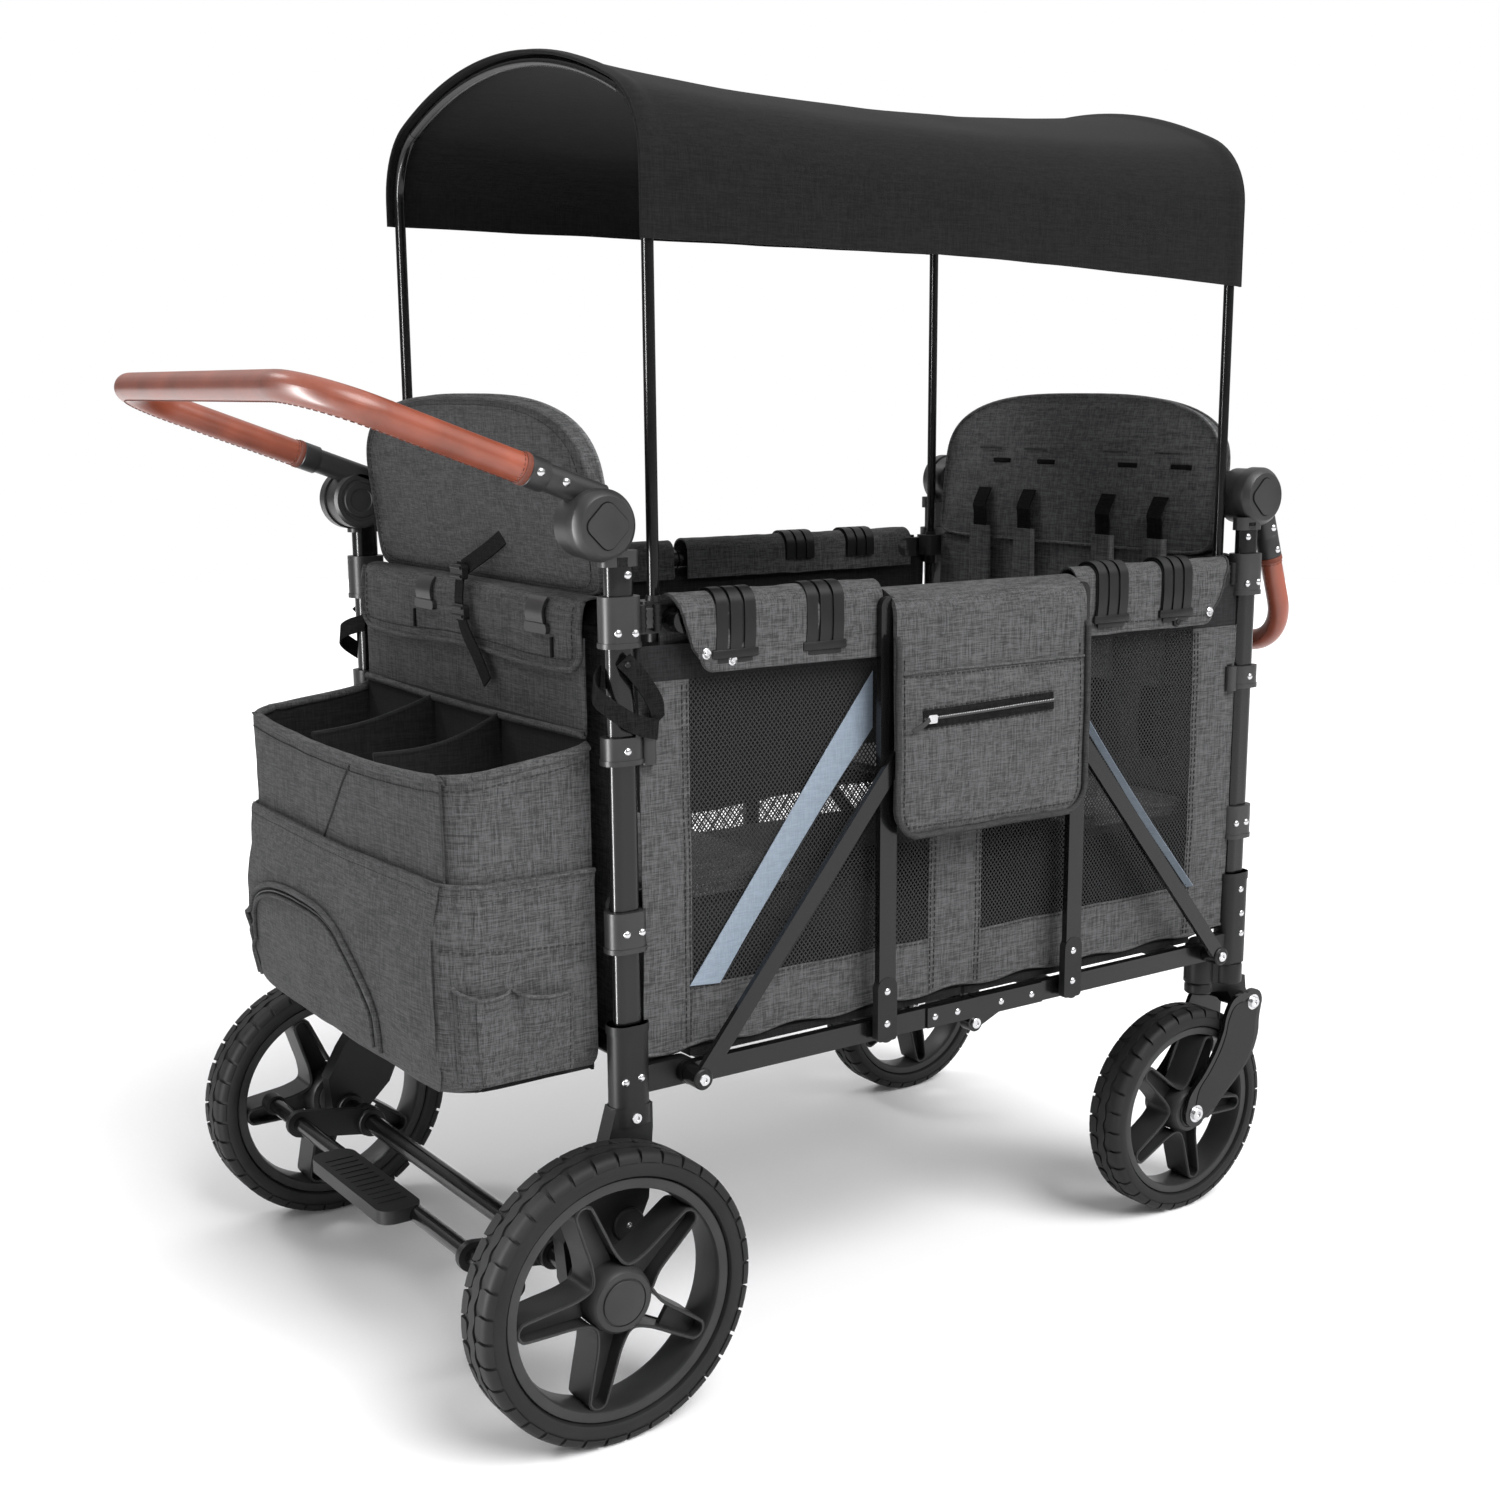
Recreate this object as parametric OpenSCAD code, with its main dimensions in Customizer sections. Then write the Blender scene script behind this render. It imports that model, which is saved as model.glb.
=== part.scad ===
// Folding stroller wagon with a canopy, two push handles, side frames and a hanging organizer bag.
// Lengths are in millimetres. +X runs to the caster end, +Y to the wagon's left, +Z up.
// The origin is on the floor, under the middle of the overall box.

/* [Tub frame] */
// Distance between the front and rear posts
post_pitch = 870; // [800:5:940]
// Distance between the left and right posts
post_spread = 590; // [560:5:640]
// Post section along the wagon
post_depth = 30; // [26:1:34]
// Post section across the wagon
post_width = 18; // [15:1:20]
// Height of the posts' lower ends
post_foot_z = 330; // [326:1:340]
// Height of the posts' upper ends
post_top_z = 860; // [857:1:868]
// Height of the upper cross tubes
cross_top_z = 800; // [796:1:804]
// Height of the lower cross tubes
cross_low_z = 368; // [364:1:374]
// Cross tube radius
cross_r = 10; // [8:0.5:11]

/* [Side frames] */
// Distance from the tub's middle to the rail pivots
fold_pivot_x = 374; // [366:1:380]
// Height of the rail pivots
fold_pivot_z = 340; // [338:1:342]
// Drop of the middle hinge pin below the rail pivots
hinge_drop = 18; // [16:1:20]
// Bottom rail height
rail_height = 23; // [20:1:25]
// Bottom rail thickness
rail_thick = 11; // [9:0.5:13]
// Distance from the tub's middle to the upright side posts
mid_post_x = 135; // [130:1:140]
// Side post width
mid_post_w = 22; // [18:1:24]
// Side post thickness
mid_post_thick = 8; // [6:0.5:10]
// Diagonal brace width
brace_w = 18; // [15:1:20]
// Diagonal brace thickness
brace_thick = 6.5; // [5:0.5:8]
// Height of the diagonal braces' upper ends
brace_top_z = 780; // [768:1:786]
// Height of the top rails
top_rail_z = 797; // [795:1:800]
// Top rail radius
top_rail_r = 12.5; // [11:0.5:13]

/* [Rear wheels] */
// Rear wheel diameter
rear_wheel_d = 300; // [280:2:304]
// Rear tyre width
rear_tyre_w = 54; // [46:1:58]
// Distance between the rear wheels' middle planes
rear_track = 704; // [696:2:740]
// Rear axle behind the rear posts
rear_axle_back = 59; // [54:1:66]

/* [Front wheels] */
// Front wheel diameter
front_wheel_d = 260; // [244:2:264]
// Front tyre width
front_tyre_w = 50; // [42:1:51]
// Distance between the caster swivel axes
front_track = 550; // [544:1:556]
// Swivel axis behind the front posts
swivel_back = 30; // [28:1:32]
// Wheel axle behind the swivel axis
caster_trail = 33; // [28:1:36]
// Suspension pivot ahead of the swivel axis
fork_pivot_ahead = 63; // [60:1:68]
// Height of the suspension pivot
fork_pivot_z = 258; // [256:1:262]

/* [Handles] */
// Height of the handle hubs
hub_z = 890; // [886:1:896]
// Hub radius
hub_r = 34.5; // [32:0.5:36]
// Hub axis outside the posts
hub_out = 17; // [14:1:20]
// Distance from the arms' middle planes to the wagon's middle
arm_y = 272; // [271:0.5:273]
// Distance from the hub axis to the arm's middle line
arm_offset = 27; // [24:1:30]
// Rear handle reach from the hub axis to the cross grip
rear_handle_len = 300; // [280:5:330]
// Rear handle angle above level
rear_handle_angle = 20; // [10:1:30]
// Front handle reach from the hub axis to the cross grip
front_handle_len = 205; // [195:5:240]
// Front handle angle below level
front_handle_angle = 72; // [66:1:78]
// Rear grip radius
rear_grip_r = 14.5; // [12:0.5:15]
// Front grip radius
front_grip_r = 13; // [11:0.5:14]
// Bend radius of the rear grip
rear_bend_r = 70; // [50:5:90]
// Bend radius of the front grip
front_bend_r = 60; // [50:5:80]

/* [Canopy] */
// Canopy pole radius
pole_r = 6; // [5:0.25:6.5]
// Distance from the canopy poles to the wagon's middle
pole_y = 273; // [272:0.5:273.5]
// Rear canopy poles ahead of the rear posts
rear_pole_ahead = 52; // [50:1:54]
// Front canopy poles behind the front posts
front_pole_back = 24; // [23:0.5:26]
// Height of the pole's lower ends
pole_foot_z = 777; // [772:1:782]
// Height where the hoops start to bend
hoop_spring_z = 1226; // [1200:2:1250]
// Shoulder radius of the hoops
hoop_shoulder_r = 75; // [60:5:90]
// Crown radius of the hoops
hoop_crown_r = 578; // [500:10:700]
// Height of the canopy's lower hem
canopy_hem_z = 1150; // [1140:5:1190]
// Canopy cloth thickness
canopy_cloth = 3; // [2:0.5:4]

/* [Soft parts] */
// Height of the side panels' lower hem
panel_hem_z = 357; // [356:1:370]
// Side panel thickness
panel_thick = 4; // [3:0.5:5]
// End wall thickness
wall_thick = 6; // [4:0.5:7]
// Height of the end walls' outer flap
flap_low_z = 747; // [730:1:760]
// Backrest height above the end walls
backrest_h = 190; // [160:5:210]
// Backrest width
backrest_w = 504; // [460:4:506]
// Backrest thickness
backrest_thick = 22; // [16:1:24]
// Backrest lean
backrest_lean = 7; // [3:1:9]
// Bench height above the floor
bench_z = 500; // [498:1:505]
// Bench thickness
bench_thick = 35; // [28:1:36]
// Bench depth
bench_depth = 198; // [160:2:200]
// Bench width
bench_w = 552; // [520:2:553]
// Organizer bag depth
bag_depth = 150; // [120:5:160]
// Gap between the organizer bag and the post collars on each side
bag_side_gap = 19; // [17:1:40]
// Height of the organizer bag's bottom
bag_low_z = 345; // [335:1:355]
// Height of the organizer bag's mouth
bag_high_z = 672; // [640:2:690]
// Organizer bag wall
bag_wall = 5; // [4:0.5:6]
// Side pouch width
pouch_w = 268; // [220:4:280]
// Side pouch thickness
pouch_thick = 15; // [10:1:20]
// Height of the side pouch's lower edge
pouch_low_z = 552; // [520:2:580]

/* [Brake] */
// Brake bar behind the rear axle
brake_back = 86; // [78:1:94]
// Brake bar above the rear axle
brake_up = 15; // [8:1:20]
// Brake bar radius
brake_r = 7; // [6:0.5:8]
// Pedal width
pedal_w = 210; // [160:5:240]

/* [Hidden] */
$fn = 64;

// Clearances and the overrun of every cut
run_clear = 0.06;
fit_gap = 0.2;
seat_gap = 0.4;
side_gap = 0.7;
loose_clear = 0.3;
over = 2;

// Pins and bolts
pin_r = 5;
bolt_r = 6;
bolt_head_r = 9;
bolt_head_t = 3.5;
rivet_r = 4;
rivet_t = 2;

// Post lines
post_x = post_pitch / 2;
post_y = post_spread / 2;
post_in_y = post_y - post_width / 2;
post_out_y = post_y + post_width / 2;
collar_wall = 5;
collar_in_y = post_in_y - collar_wall;
collar_out_y = post_out_y + collar_wall;
collar_half_x = post_depth / 2 + collar_wall;

// Layers of the side frames, counted outwards from the posts
rail_stand_off = 1;
rail_in_y = post_out_y + rail_stand_off;
rail_out_y = rail_in_y + rail_thick;
plate_thick = 2.4;
plate_out_y = rail_out_y + plate_thick;
plate_in_y = rail_in_y - plate_thick;
roll_half_w = 17.4;
clip_wall = 2;
top_rail_set_out = 8;
top_rail_y = post_y + top_rail_set_out;
roll_out_y = top_rail_y + roll_half_w;
clip_out_y = roll_out_y + clip_wall;
mid_in_y = max(clip_out_y + loose_clear, plate_out_y + side_gap);
mid_out_y = mid_in_y + mid_post_thick;
brace_in_y = mid_out_y + side_gap;
brace_out_y = brace_in_y + brace_thick;
pouch_in_y = brace_out_y + side_gap;

// Handle reach, which sets where the tub stands in the overall box
hub_x = post_x + hub_out;
rear_reach = hub_x + rear_handle_len * cos(rear_handle_angle)
    - arm_offset * sin(rear_handle_angle) + rear_grip_r;
front_reach = hub_x + front_handle_len * cos(front_handle_angle)
    + arm_offset * sin(front_handle_angle) + front_grip_r;
tub_mid_x = (rear_reach - front_reach) / 2;

// Inner face of the side panels
panel_set_out = 1;
panel_in_y = post_y + panel_set_out;

// Shared shapes
module in_place() { translate([tub_mid_x, 0, 0]) children(); }
module both_sides() { children(); mirror([0, 1, 0]) children(); }
module box(x0, x1, y0, y1, z0, z1) { translate([x0, y0, z0]) cube([x1 - x0, y1 - y0, z1 - z0]); }
module y_rod(r, x, z, y0, y1) { translate([x, y0, z]) rotate([-90, 0, 0]) cylinder(r = r, h = y1 - y0); }
module z_rod(r, x, y, z0, z1) { translate([x, y, z0]) cylinder(r = r, h = z1 - z0); }
module x_rod(r, y, z, x0, x1) { translate([x0, y, z]) rotate([0, 90, 0]) cylinder(r = r, h = x1 - x0); }
module side_plate(y0, y1) { translate([0, y1, 0]) rotate([90, 0, 0]) linear_extrude(y1 - y0) children(); }

// Flat bar with round ends between two points of a side view
module link_2d(p, q, w) {
    run = norm(q - p);
    turn = atan2(q[1] - p[1], q[0] - p[0]);
    translate(p) rotate(turn) translate([0, -w / 2]) square([run, w]);
    translate(p) circle(r = w / 2);
    translate(q) circle(r = w / 2);
}

// Rectangle with round corners, from its lower left corner
module round_rect(w, h, r) {
    translate([r, 0]) square([w - 2 * r, h]);
    translate([0, r]) square([w, h - 2 * r]);
    for (x = [r, w - r], y = [r, h - r]) translate([x, y]) circle(r = r);
}

// Post section grown by a gap
module post_section(grow) {
    w = post_width + 2 * grow;
    straight = post_depth - post_width;
    translate([-straight / 2, -w / 2]) square([straight, w]);
    for (s = [-1, 1]) translate([s * straight / 2, 0]) circle(r = w / 2);
}
module post_solid(z0, z1, grow) {
    translate([-post_x, post_y, z0]) linear_extrude(z1 - z0) post_section(grow);
}

// End frame: two posts welded to two cross tubes
module end_frame() {
    both_sides() post_solid(post_foot_z, post_top_z, 0);
    for (z = [cross_top_z, cross_low_z]) y_rod(cross_r, -post_x, z, -post_y, post_y);
}

module cross_hole(z) { y_rod(cross_r + fit_gap, -post_x, z, collar_in_y - over, post_y); }

// Corner casting with the arm and bolt that carry a bottom rail and a brace
arm_thick = 14;
arm_end_r = 14;
arm_out_y = rail_in_y - side_gap;
arm_in_y = arm_out_y - arm_thick;
module corner_casting(z0, z1) {
    difference() {
        union() {
            box(-post_x - collar_half_x, -post_x + collar_half_x, collar_in_y, collar_out_y, z0, z1);
            box(-post_x, -fold_pivot_x, arm_in_y, arm_out_y, fold_pivot_z - arm_end_r,
                fold_pivot_z + arm_end_r);
            y_rod(arm_end_r, -fold_pivot_x, fold_pivot_z, arm_in_y, arm_out_y);
            y_rod(bolt_r, -fold_pivot_x, fold_pivot_z, arm_in_y, brace_out_y + seat_gap);
            y_rod(bolt_head_r, -fold_pivot_x, fold_pivot_z, brace_out_y + seat_gap,
                brace_out_y + seat_gap + bolt_head_t);
        }
        post_solid(post_foot_z - fit_gap, z1 + over, fit_gap);
        cross_hole(cross_low_z);
    }
}

// Post fittings: three collars, the canopy clamp, the top rail lug, the bench lug and the fixed hub
collar_top_z = [774, 823];
collar_mid_z = [661, 688];
collar_low_z = [474, 515];
lug_thick = 7.5;
lug_half_h = 13;
lug_set_in = 2;
lug_in_y = post_in_y - lug_set_in;
lug_out_y = lug_in_y + lug_thick;
clamp_half = 14;
clamp_low_z = 786;
clamp_high_z = 814;
bench_pivot_in = 43;
bench_pivot_x = post_x - bench_pivot_in;
bench_pivot_z = bench_z + bench_thick / 2;
bench_lug_half_h = 12;
bench_side_gap = 2;
bench_lug_in_y = bench_w / 2 + bench_side_gap;
bench_lug_out_y = post_in_y - loose_clear;
hub_in_y = post_in_y;
hub_face_out = 4;
hub_out_y = post_out_y + hub_face_out;
hub_pin_r = 10;
arm_half_w = 13.5;
hub_pin_short = 2;
hub_pin_in_y = arm_y - arm_half_w + hub_pin_short;
button_side = 36;
button_corner_r = 9;
button_travel = 4;
button_proud = 1.5;
button_t = 9;
recess_depth = button_t - button_proud + button_travel + seat_gap;

module collar(z) {
    difference() {
        box(-post_x - collar_half_x, -post_x + collar_half_x, collar_in_y, collar_out_y, z[0], z[1]);
        post_solid(z[0] - over, z[1] + over, fit_gap);
        cross_hole(cross_top_z);
    }
}
module button_2d(grow) {
    side = button_side + 2 * grow;
    rotate(45) translate([-side / 2, -side / 2]) round_rect(side, side, button_corner_r + grow);
}
module pole_clamp(pole_in) {
    px = -post_x + pole_in;
    difference() {
        union() {
            box(px - clamp_half, px + clamp_half, pole_y - clamp_half + over, lug_in_y, clamp_low_z,
                clamp_high_z);
            box(-post_x + collar_half_x - over, px, pole_y, lug_in_y, clamp_low_z, clamp_high_z);
            box(-post_x + collar_half_x - over, -fold_pivot_x, lug_in_y, lug_out_y,
                top_rail_z - lug_half_h, top_rail_z + lug_half_h);
            y_rod(lug_half_h, -fold_pivot_x, top_rail_z, lug_in_y, lug_out_y);
            y_rod(pin_r, -fold_pivot_x, top_rail_z, lug_in_y, top_rail_y + top_rail_r);
        }
        z_rod(pole_r + run_clear, px, pole_y, clamp_low_z - over, clamp_high_z + over);
    }
}
module bench_lug() {
    difference() {
        union() {
            box(-post_x, -bench_pivot_x, bench_lug_in_y, bench_lug_out_y,
                bench_pivot_z - bench_lug_half_h, bench_pivot_z + bench_lug_half_h);
            y_rod(bench_lug_half_h, -bench_pivot_x, bench_pivot_z, bench_lug_in_y, bench_lug_out_y);
        }
        y_rod(pin_r + run_clear, -bench_pivot_x, bench_pivot_z, bench_lug_in_y - over,
            bench_lug_out_y + over);
    }
}
module fixed_hub() {
    difference() {
        union() {
            y_rod(hub_r, -hub_x, hub_z, hub_in_y, hub_out_y);
            y_rod(hub_pin_r, -hub_x, hub_z, hub_pin_in_y, hub_out_y - recess_depth);
        }
        post_solid(post_foot_z, post_top_z + fit_gap, fit_gap);
        translate([-hub_x, 0, hub_z])
            side_plate(hub_out_y - recess_depth, hub_out_y + over) button_2d(seat_gap);
    }
}
module post_fittings(pole_in) {
    both_sides() {
        union() {
            collar(collar_top_z);
            pole_clamp(pole_in);
        }
        collar(collar_mid_z);
        union() {
            collar(collar_low_z);
            bench_lug();
        }
        fixed_hub();
    }
}

// Rivet heads on the outer faces of the collars, castings and leg brackets
rivet_step = 10;
module rivet(x, z, y) { y_rod(rivet_r, x, z, y + fit_gap / 2, y + fit_gap / 2 + rivet_t); }
module post_rivets(casting_z) {
    both_sides() {
        for (z = [collar_top_z, collar_mid_z, collar_low_z])
            rivet(-post_x - rivet_step / 2, (z[0] + z[1]) / 2, collar_out_y);
        for (z = casting_z) rivet(-post_x - rivet_step / 2, z, collar_out_y);
        rivet(-post_x + rivet_step, (collar_top_z[0] + collar_top_z[1]) / 2, collar_out_y);
    }
}

// End wall with the flap that folds over the upper cross tube
wall_half_w = 258;
wall_set_in = 19;
wall_in_x = post_x - wall_set_in;
wall_top_z = cross_top_z + cross_r + seat_gap + wall_thick;
flap_half_w = 256;
flap_set_out = 23;
flap_out_x = post_x + flap_set_out;
module end_wall() {
    box(-wall_in_x - wall_thick, -wall_in_x, -wall_half_w, wall_half_w, panel_hem_z, wall_top_z);
    box(-flap_out_x, -wall_in_x, -flap_half_w, flap_half_w, wall_top_z - wall_thick, wall_top_z);
    box(-flap_out_x, -flap_out_x + wall_thick, -flap_half_w, flap_half_w, flap_low_z, wall_top_z);
}

// Cushion skin: rings of a rounded outline that rise to a crown on both faces
cushion_steps = 40;
ring_shares = [1, 0.95, 0.84, 0.66, 0.42, 0.2];
crown_power = 3;
function corner_pull(v, power) = sign(v) * pow(abs(v), 2 / power);
function cushion_outline(a, b, high_power, low_power, draw_share) = [
    for (i = [0:cushion_steps - 1])
        let (t = 360 * (i + 0.5) / cushion_steps)
        let (power = sin(t) > 0 ? high_power : low_power)
        let (x = corner_pull(cos(t), power), y = corner_pull(sin(t), power))
        [a * x * (1 - draw_share * (1 - y * y)), b * y * (1 - (y > 0 ? draw_share * (1 - x * x) : 0))]
];
function crown_rise(s) = 1 - pow(s, crown_power);
function cushion_face(outline, seam, crown, side) = concat(
    [for (s = ring_shares, p = outline) [p[0] * s, p[1] * s, side * (seam / 2 + crown * crown_rise(s))]],
    [[0, 0, side * (seam / 2 + crown)]]
);
function turned(face, side) = side > 0 ? face : [face[2], face[1], face[0]];
function cushion_triangles(base, side) = let (n = cushion_steps, last = len(ring_shares) - 1) concat(
    [for (r = [0:last - 1], i = [0:n - 1]) let (j = (i + 1) % n)
        turned([base + r * n + i, base + (r + 1) * n + i, base + r * n + j], side)],
    [for (r = [0:last - 1], i = [0:n - 1]) let (j = (i + 1) % n)
        turned([base + r * n + j, base + (r + 1) * n + i, base + (r + 1) * n + j], side)],
    [for (i = [0:n - 1]) turned([base + last * n + i, base + (last + 1) * n,
        base + last * n + (i + 1) % n], side)]
);
module cushion(outline, seam, high_crown, low_crown) {
    n = cushion_steps;
    low = len(ring_shares) * n + 1;
    polyhedron(
        points = concat(cushion_face(outline, seam, high_crown, 1),
            cushion_face(outline, seam, low_crown, -1)),
        faces = concat(
            cushion_triangles(0, 1),
            cushion_triangles(low, -1),
            [for (i = [0:n - 1]) [i, (i + 1) % n, low + (i + 1) % n]],
            [for (i = [0:n - 1]) [i, low + (i + 1) % n, low + i]]
        )
    );
}

// Padded backrest standing on the end wall and leaning outwards
backrest_seam = 8;
backrest_high_power = 3.4;
backrest_low_power = 9;
backrest_draw_share = 0.02;
module backrest() {
    lift = backrest_seam / 2 * sin(backrest_lean) + loose_clear;
    crown = (backrest_thick - backrest_seam) / 2;
    translate([-wall_in_x - wall_thick / 2 - lift, 0, wall_top_z + lift])
        rotate([0, -backrest_lean, 0])
        translate([0, 0, backrest_h / 2])
        rotate([90, 0, 90])
        cushion(cushion_outline(backrest_w / 2, backrest_h / 2, backrest_high_power, backrest_low_power,
            backrest_draw_share),
            backrest_seam, crown, crown);
}

// Bench: a board on a hinge rod with a pad on top
bench_tail = 12;
bench_board_t = 10;
bench_rod_r = 9;
bench_pad_seam = 14;
bench_pad_power = 9;
bench_pad_draw_share = 0.015;
module bench() {
    rear_x = -bench_pivot_x - bench_tail;
    box(rear_x, rear_x + bench_depth, -bench_w / 2, bench_w / 2, bench_z, bench_z + bench_board_t);
    y_rod(bench_rod_r, -bench_pivot_x, bench_pivot_z, -bench_w / 2, bench_w / 2);
    both_sides() y_rod(pin_r, -bench_pivot_x, bench_pivot_z, bench_w / 2 - over, bench_lug_out_y - fit_gap);
}
module bench_pad() {
    rear_x = -bench_pivot_x + bench_rod_r + seat_gap;
    front_x = -bench_pivot_x - bench_tail + bench_depth;
    crown = bench_thick - bench_board_t - bench_pad_seam - seat_gap;
    translate([(rear_x + front_x) / 2, 0, bench_z + bench_board_t + seat_gap + bench_pad_seam / 2])
        cushion(cushion_outline((front_x - rear_x) / 2, bench_w / 2, bench_pad_power, bench_pad_power,
            bench_pad_draw_share),
            bench_pad_seam, crown, 0);
}

// Organizer bag: back panel tucked behind the flap, three compartments open at the top
bag_w = 2 * (collar_in_y - bag_side_gap);
bag_back_t = 5.6;
bag_back_x = flap_out_x - wall_thick - seat_gap;
bag_back_top_z = 780;
bag_corner_r = 40;
bag_divider_share = 0.3;
module bag_shell(front_x, inset, z0, z1) {
    w = bag_w - 2 * inset;
    r = bag_corner_r - inset;
    rear_x = -bag_back_x - bag_depth + inset;
    translate([0, 0, z0]) linear_extrude(z1 - z0) {
        translate([rear_x + r, -w / 2]) square([front_x - rear_x - r, w]);
        translate([rear_x, -w / 2 + r]) square([front_x - rear_x, w - 2 * r]);
        for (s = [-1, 1]) translate([rear_x + r, s * (w / 2 - r)]) circle(r = r);
    }
}
module organizer_bag() color("dimgray") in_place() {
    back_half = bag_w / 2 - bag_wall;
    box(-bag_back_x, -bag_back_x + bag_back_t, -back_half, back_half, bag_low_z, bag_back_top_z);
    difference() {
        bag_shell(-bag_back_x + over, 0, bag_low_z, bag_high_z);
        difference() {
            bag_shell(-bag_back_x, bag_wall, bag_low_z + bag_wall, bag_high_z + over);
            for (s = [-1, 1]) translate([0, s * bag_w / 2 * bag_divider_share, 0])
                box(-bag_back_x - bag_depth, -bag_back_x + over, -bag_wall / 2, bag_wall / 2, bag_low_z,
                    bag_high_z + 2 * over);
        }
    }
}

// Rear axle: two leg brackets, the axle tube and the wheel stubs
axle_x = post_x + rear_axle_back;
axle_z = rear_wheel_d / 2;
axle_r = 11;
stub_r = 8;
leg_boss_r = 22;
leg_thick = 22;
leg_to_hub = 17;
rear_hub_half = 29;
leg_out_y = rear_track / 2 - rear_hub_half - leg_to_hub;
leg_in_y = leg_out_y - leg_thick;
leg_foot_t = 6;
casting_low_z = 316;
leg_top_z = casting_low_z - fit_gap;
leg_half_top = 21;
leg_front_share = 0.86;
leg_back_share = 0.8;
stub_end = 24;
module rear_axle() color("black") in_place() {
    both_sides() {
        side_plate(leg_in_y, leg_out_y) {
            polygon([
                [-post_x - leg_half_top, leg_top_z], [-post_x + leg_half_top, leg_top_z],
                [-axle_x + leg_boss_r * leg_front_share, axle_z - leg_boss_r / 2],
                [-axle_x - leg_boss_r * leg_back_share, axle_z + leg_boss_r / 2]
            ]);
            translate([-axle_x, axle_z]) circle(r = leg_boss_r);
        }
        box(-post_x - leg_half_top, -post_x + leg_half_top,
            min(leg_in_y, collar_in_y), max(leg_out_y, collar_out_y), leg_top_z - leg_foot_t, leg_top_z);
        y_rod(stub_r, -axle_x, axle_z, leg_out_y - over, rear_track / 2 + stub_end);
    }
    y_rod(axle_r, -axle_x, axle_z, -leg_in_y - over, leg_in_y + over);
}

// Brake bar with two arms that turn on the axle tube, and a foot pedal
brake_arm_t = 8;
brake_arm_in = 54;
brake_arm_y = leg_in_y - brake_arm_in - brake_arm_t;
brake_ring_r = 18;
brake_bar_end = 8;
pedal_depth = 38;
pedal_t = 8;
module brake_bar() color("black") in_place() {
    bar = [-axle_x - brake_back, axle_z + brake_up];
    difference() {
        union() {
            both_sides() side_plate(brake_arm_y, brake_arm_y + brake_arm_t) {
                translate([-axle_x, axle_z]) circle(r = brake_ring_r);
                link_2d([-axle_x, axle_z], bar, 2 * brake_r + brake_arm_t);
            }
            y_rod(brake_r, bar[0], bar[1], -rear_track / 2 + rear_tyre_w / 2 + brake_bar_end,
                rear_track / 2 - rear_tyre_w / 2 - brake_bar_end);
            box(bar[0] - pedal_depth, bar[0] + brake_r, -pedal_w / 2, pedal_w / 2, bar[1], bar[1] + pedal_t);
        }
        y_rod(axle_r + run_clear, -axle_x, axle_z, -brake_arm_y - brake_arm_t - over,
            brake_arm_y + brake_arm_t + over);
    }
}

// Wheels: a tyre with round shoulders on a five-spoke rim
rim_share = 0.83;
lip_share = 0.75;
tyre_round_share = 0.3;
spoke_count = 5;
spoke_root_share = 0.18;
spoke_tip_share = 0.1;
rim_inset = 4;
spoke_inset = 2;
spoke_start_share = 0.75;
spoke_turn = 39;
rear_spoke_phase = 0;
front_spoke_phase = 27;
module tyre(d, w) {
    r = d / 2;
    seat = r * rim_share;
    round_r = w * tyre_round_share;
    rotate([90, 0, 0]) rotate_extrude() intersection() {
        translate([seat, -w / 2]) square([r - seat, w]);
        union() {
            translate([seat, -w / 2]) square([r - round_r - seat, w]);
            translate([seat, -w / 2 + round_r]) square([r - seat, w - 2 * round_r]);
            for (s = [-1, 1]) translate([r - round_r, s * (w / 2 - round_r)]) circle(r = round_r);
        }
    }
}
module rim(d, w, hub_radius, hub_half, bore, bore_end, phase) {
    r = d / 2;
    outer = r * rim_share - seat_gap;
    inner = r * lip_share;
    rim_half = w / 2 - rim_inset;
    spoke_half = rim_half - spoke_inset;
    rotate([90, 0, 0]) rotate(phase) difference() {
        union() {
            rotate_extrude() translate([inner, -rim_half]) square([outer - inner, 2 * rim_half]);
            translate([0, 0, -hub_half]) cylinder(r = hub_radius, h = 2 * hub_half);
            for (i = [0:spoke_count - 1]) rotate(spoke_turn + i * 360 / spoke_count)
                translate([0, 0, -spoke_half]) linear_extrude(2 * spoke_half)
                    spoke_2d(hub_radius * spoke_start_share, inner + rim_inset / 2, d);
        }
        translate([0, 0, -bore_end]) cylinder(r = bore, h = bore_end + hub_half + over);
    }
}
module spoke_2d(start, reach, d) {
    root = d / 2 * spoke_root_share;
    tip = d / 2 * spoke_tip_share;
    polygon([[start, -root / 2], [reach, -tip / 2], [reach, tip / 2], [start, root / 2]]);
}
rear_hub_r_share = 0.21;
module at_rear_wheel() { translate([-axle_x, rear_track / 2, axle_z]) children(); }
module rear_tyre() { tyre(rear_wheel_d, rear_tyre_w); }
module rear_rim() {
    rim(rear_wheel_d, rear_tyre_w, rear_wheel_d / 2 * rear_hub_r_share, rear_hub_half,
        stub_r + run_clear, stub_end + side_gap, rear_spoke_phase);
}
module rear_tyre_l() color("black") in_place() at_rear_wheel() rear_tyre();
module rear_rim_l() color("darkslategray") in_place() at_rear_wheel() rear_rim();
module rear_tyre_r() color("black") in_place() mirror([0, 1, 0]) at_rear_wheel() rear_tyre();
module rear_rim_r() color("darkslategray") in_place() mirror([0, 1, 0]) at_rear_wheel() rear_rim();

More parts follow.
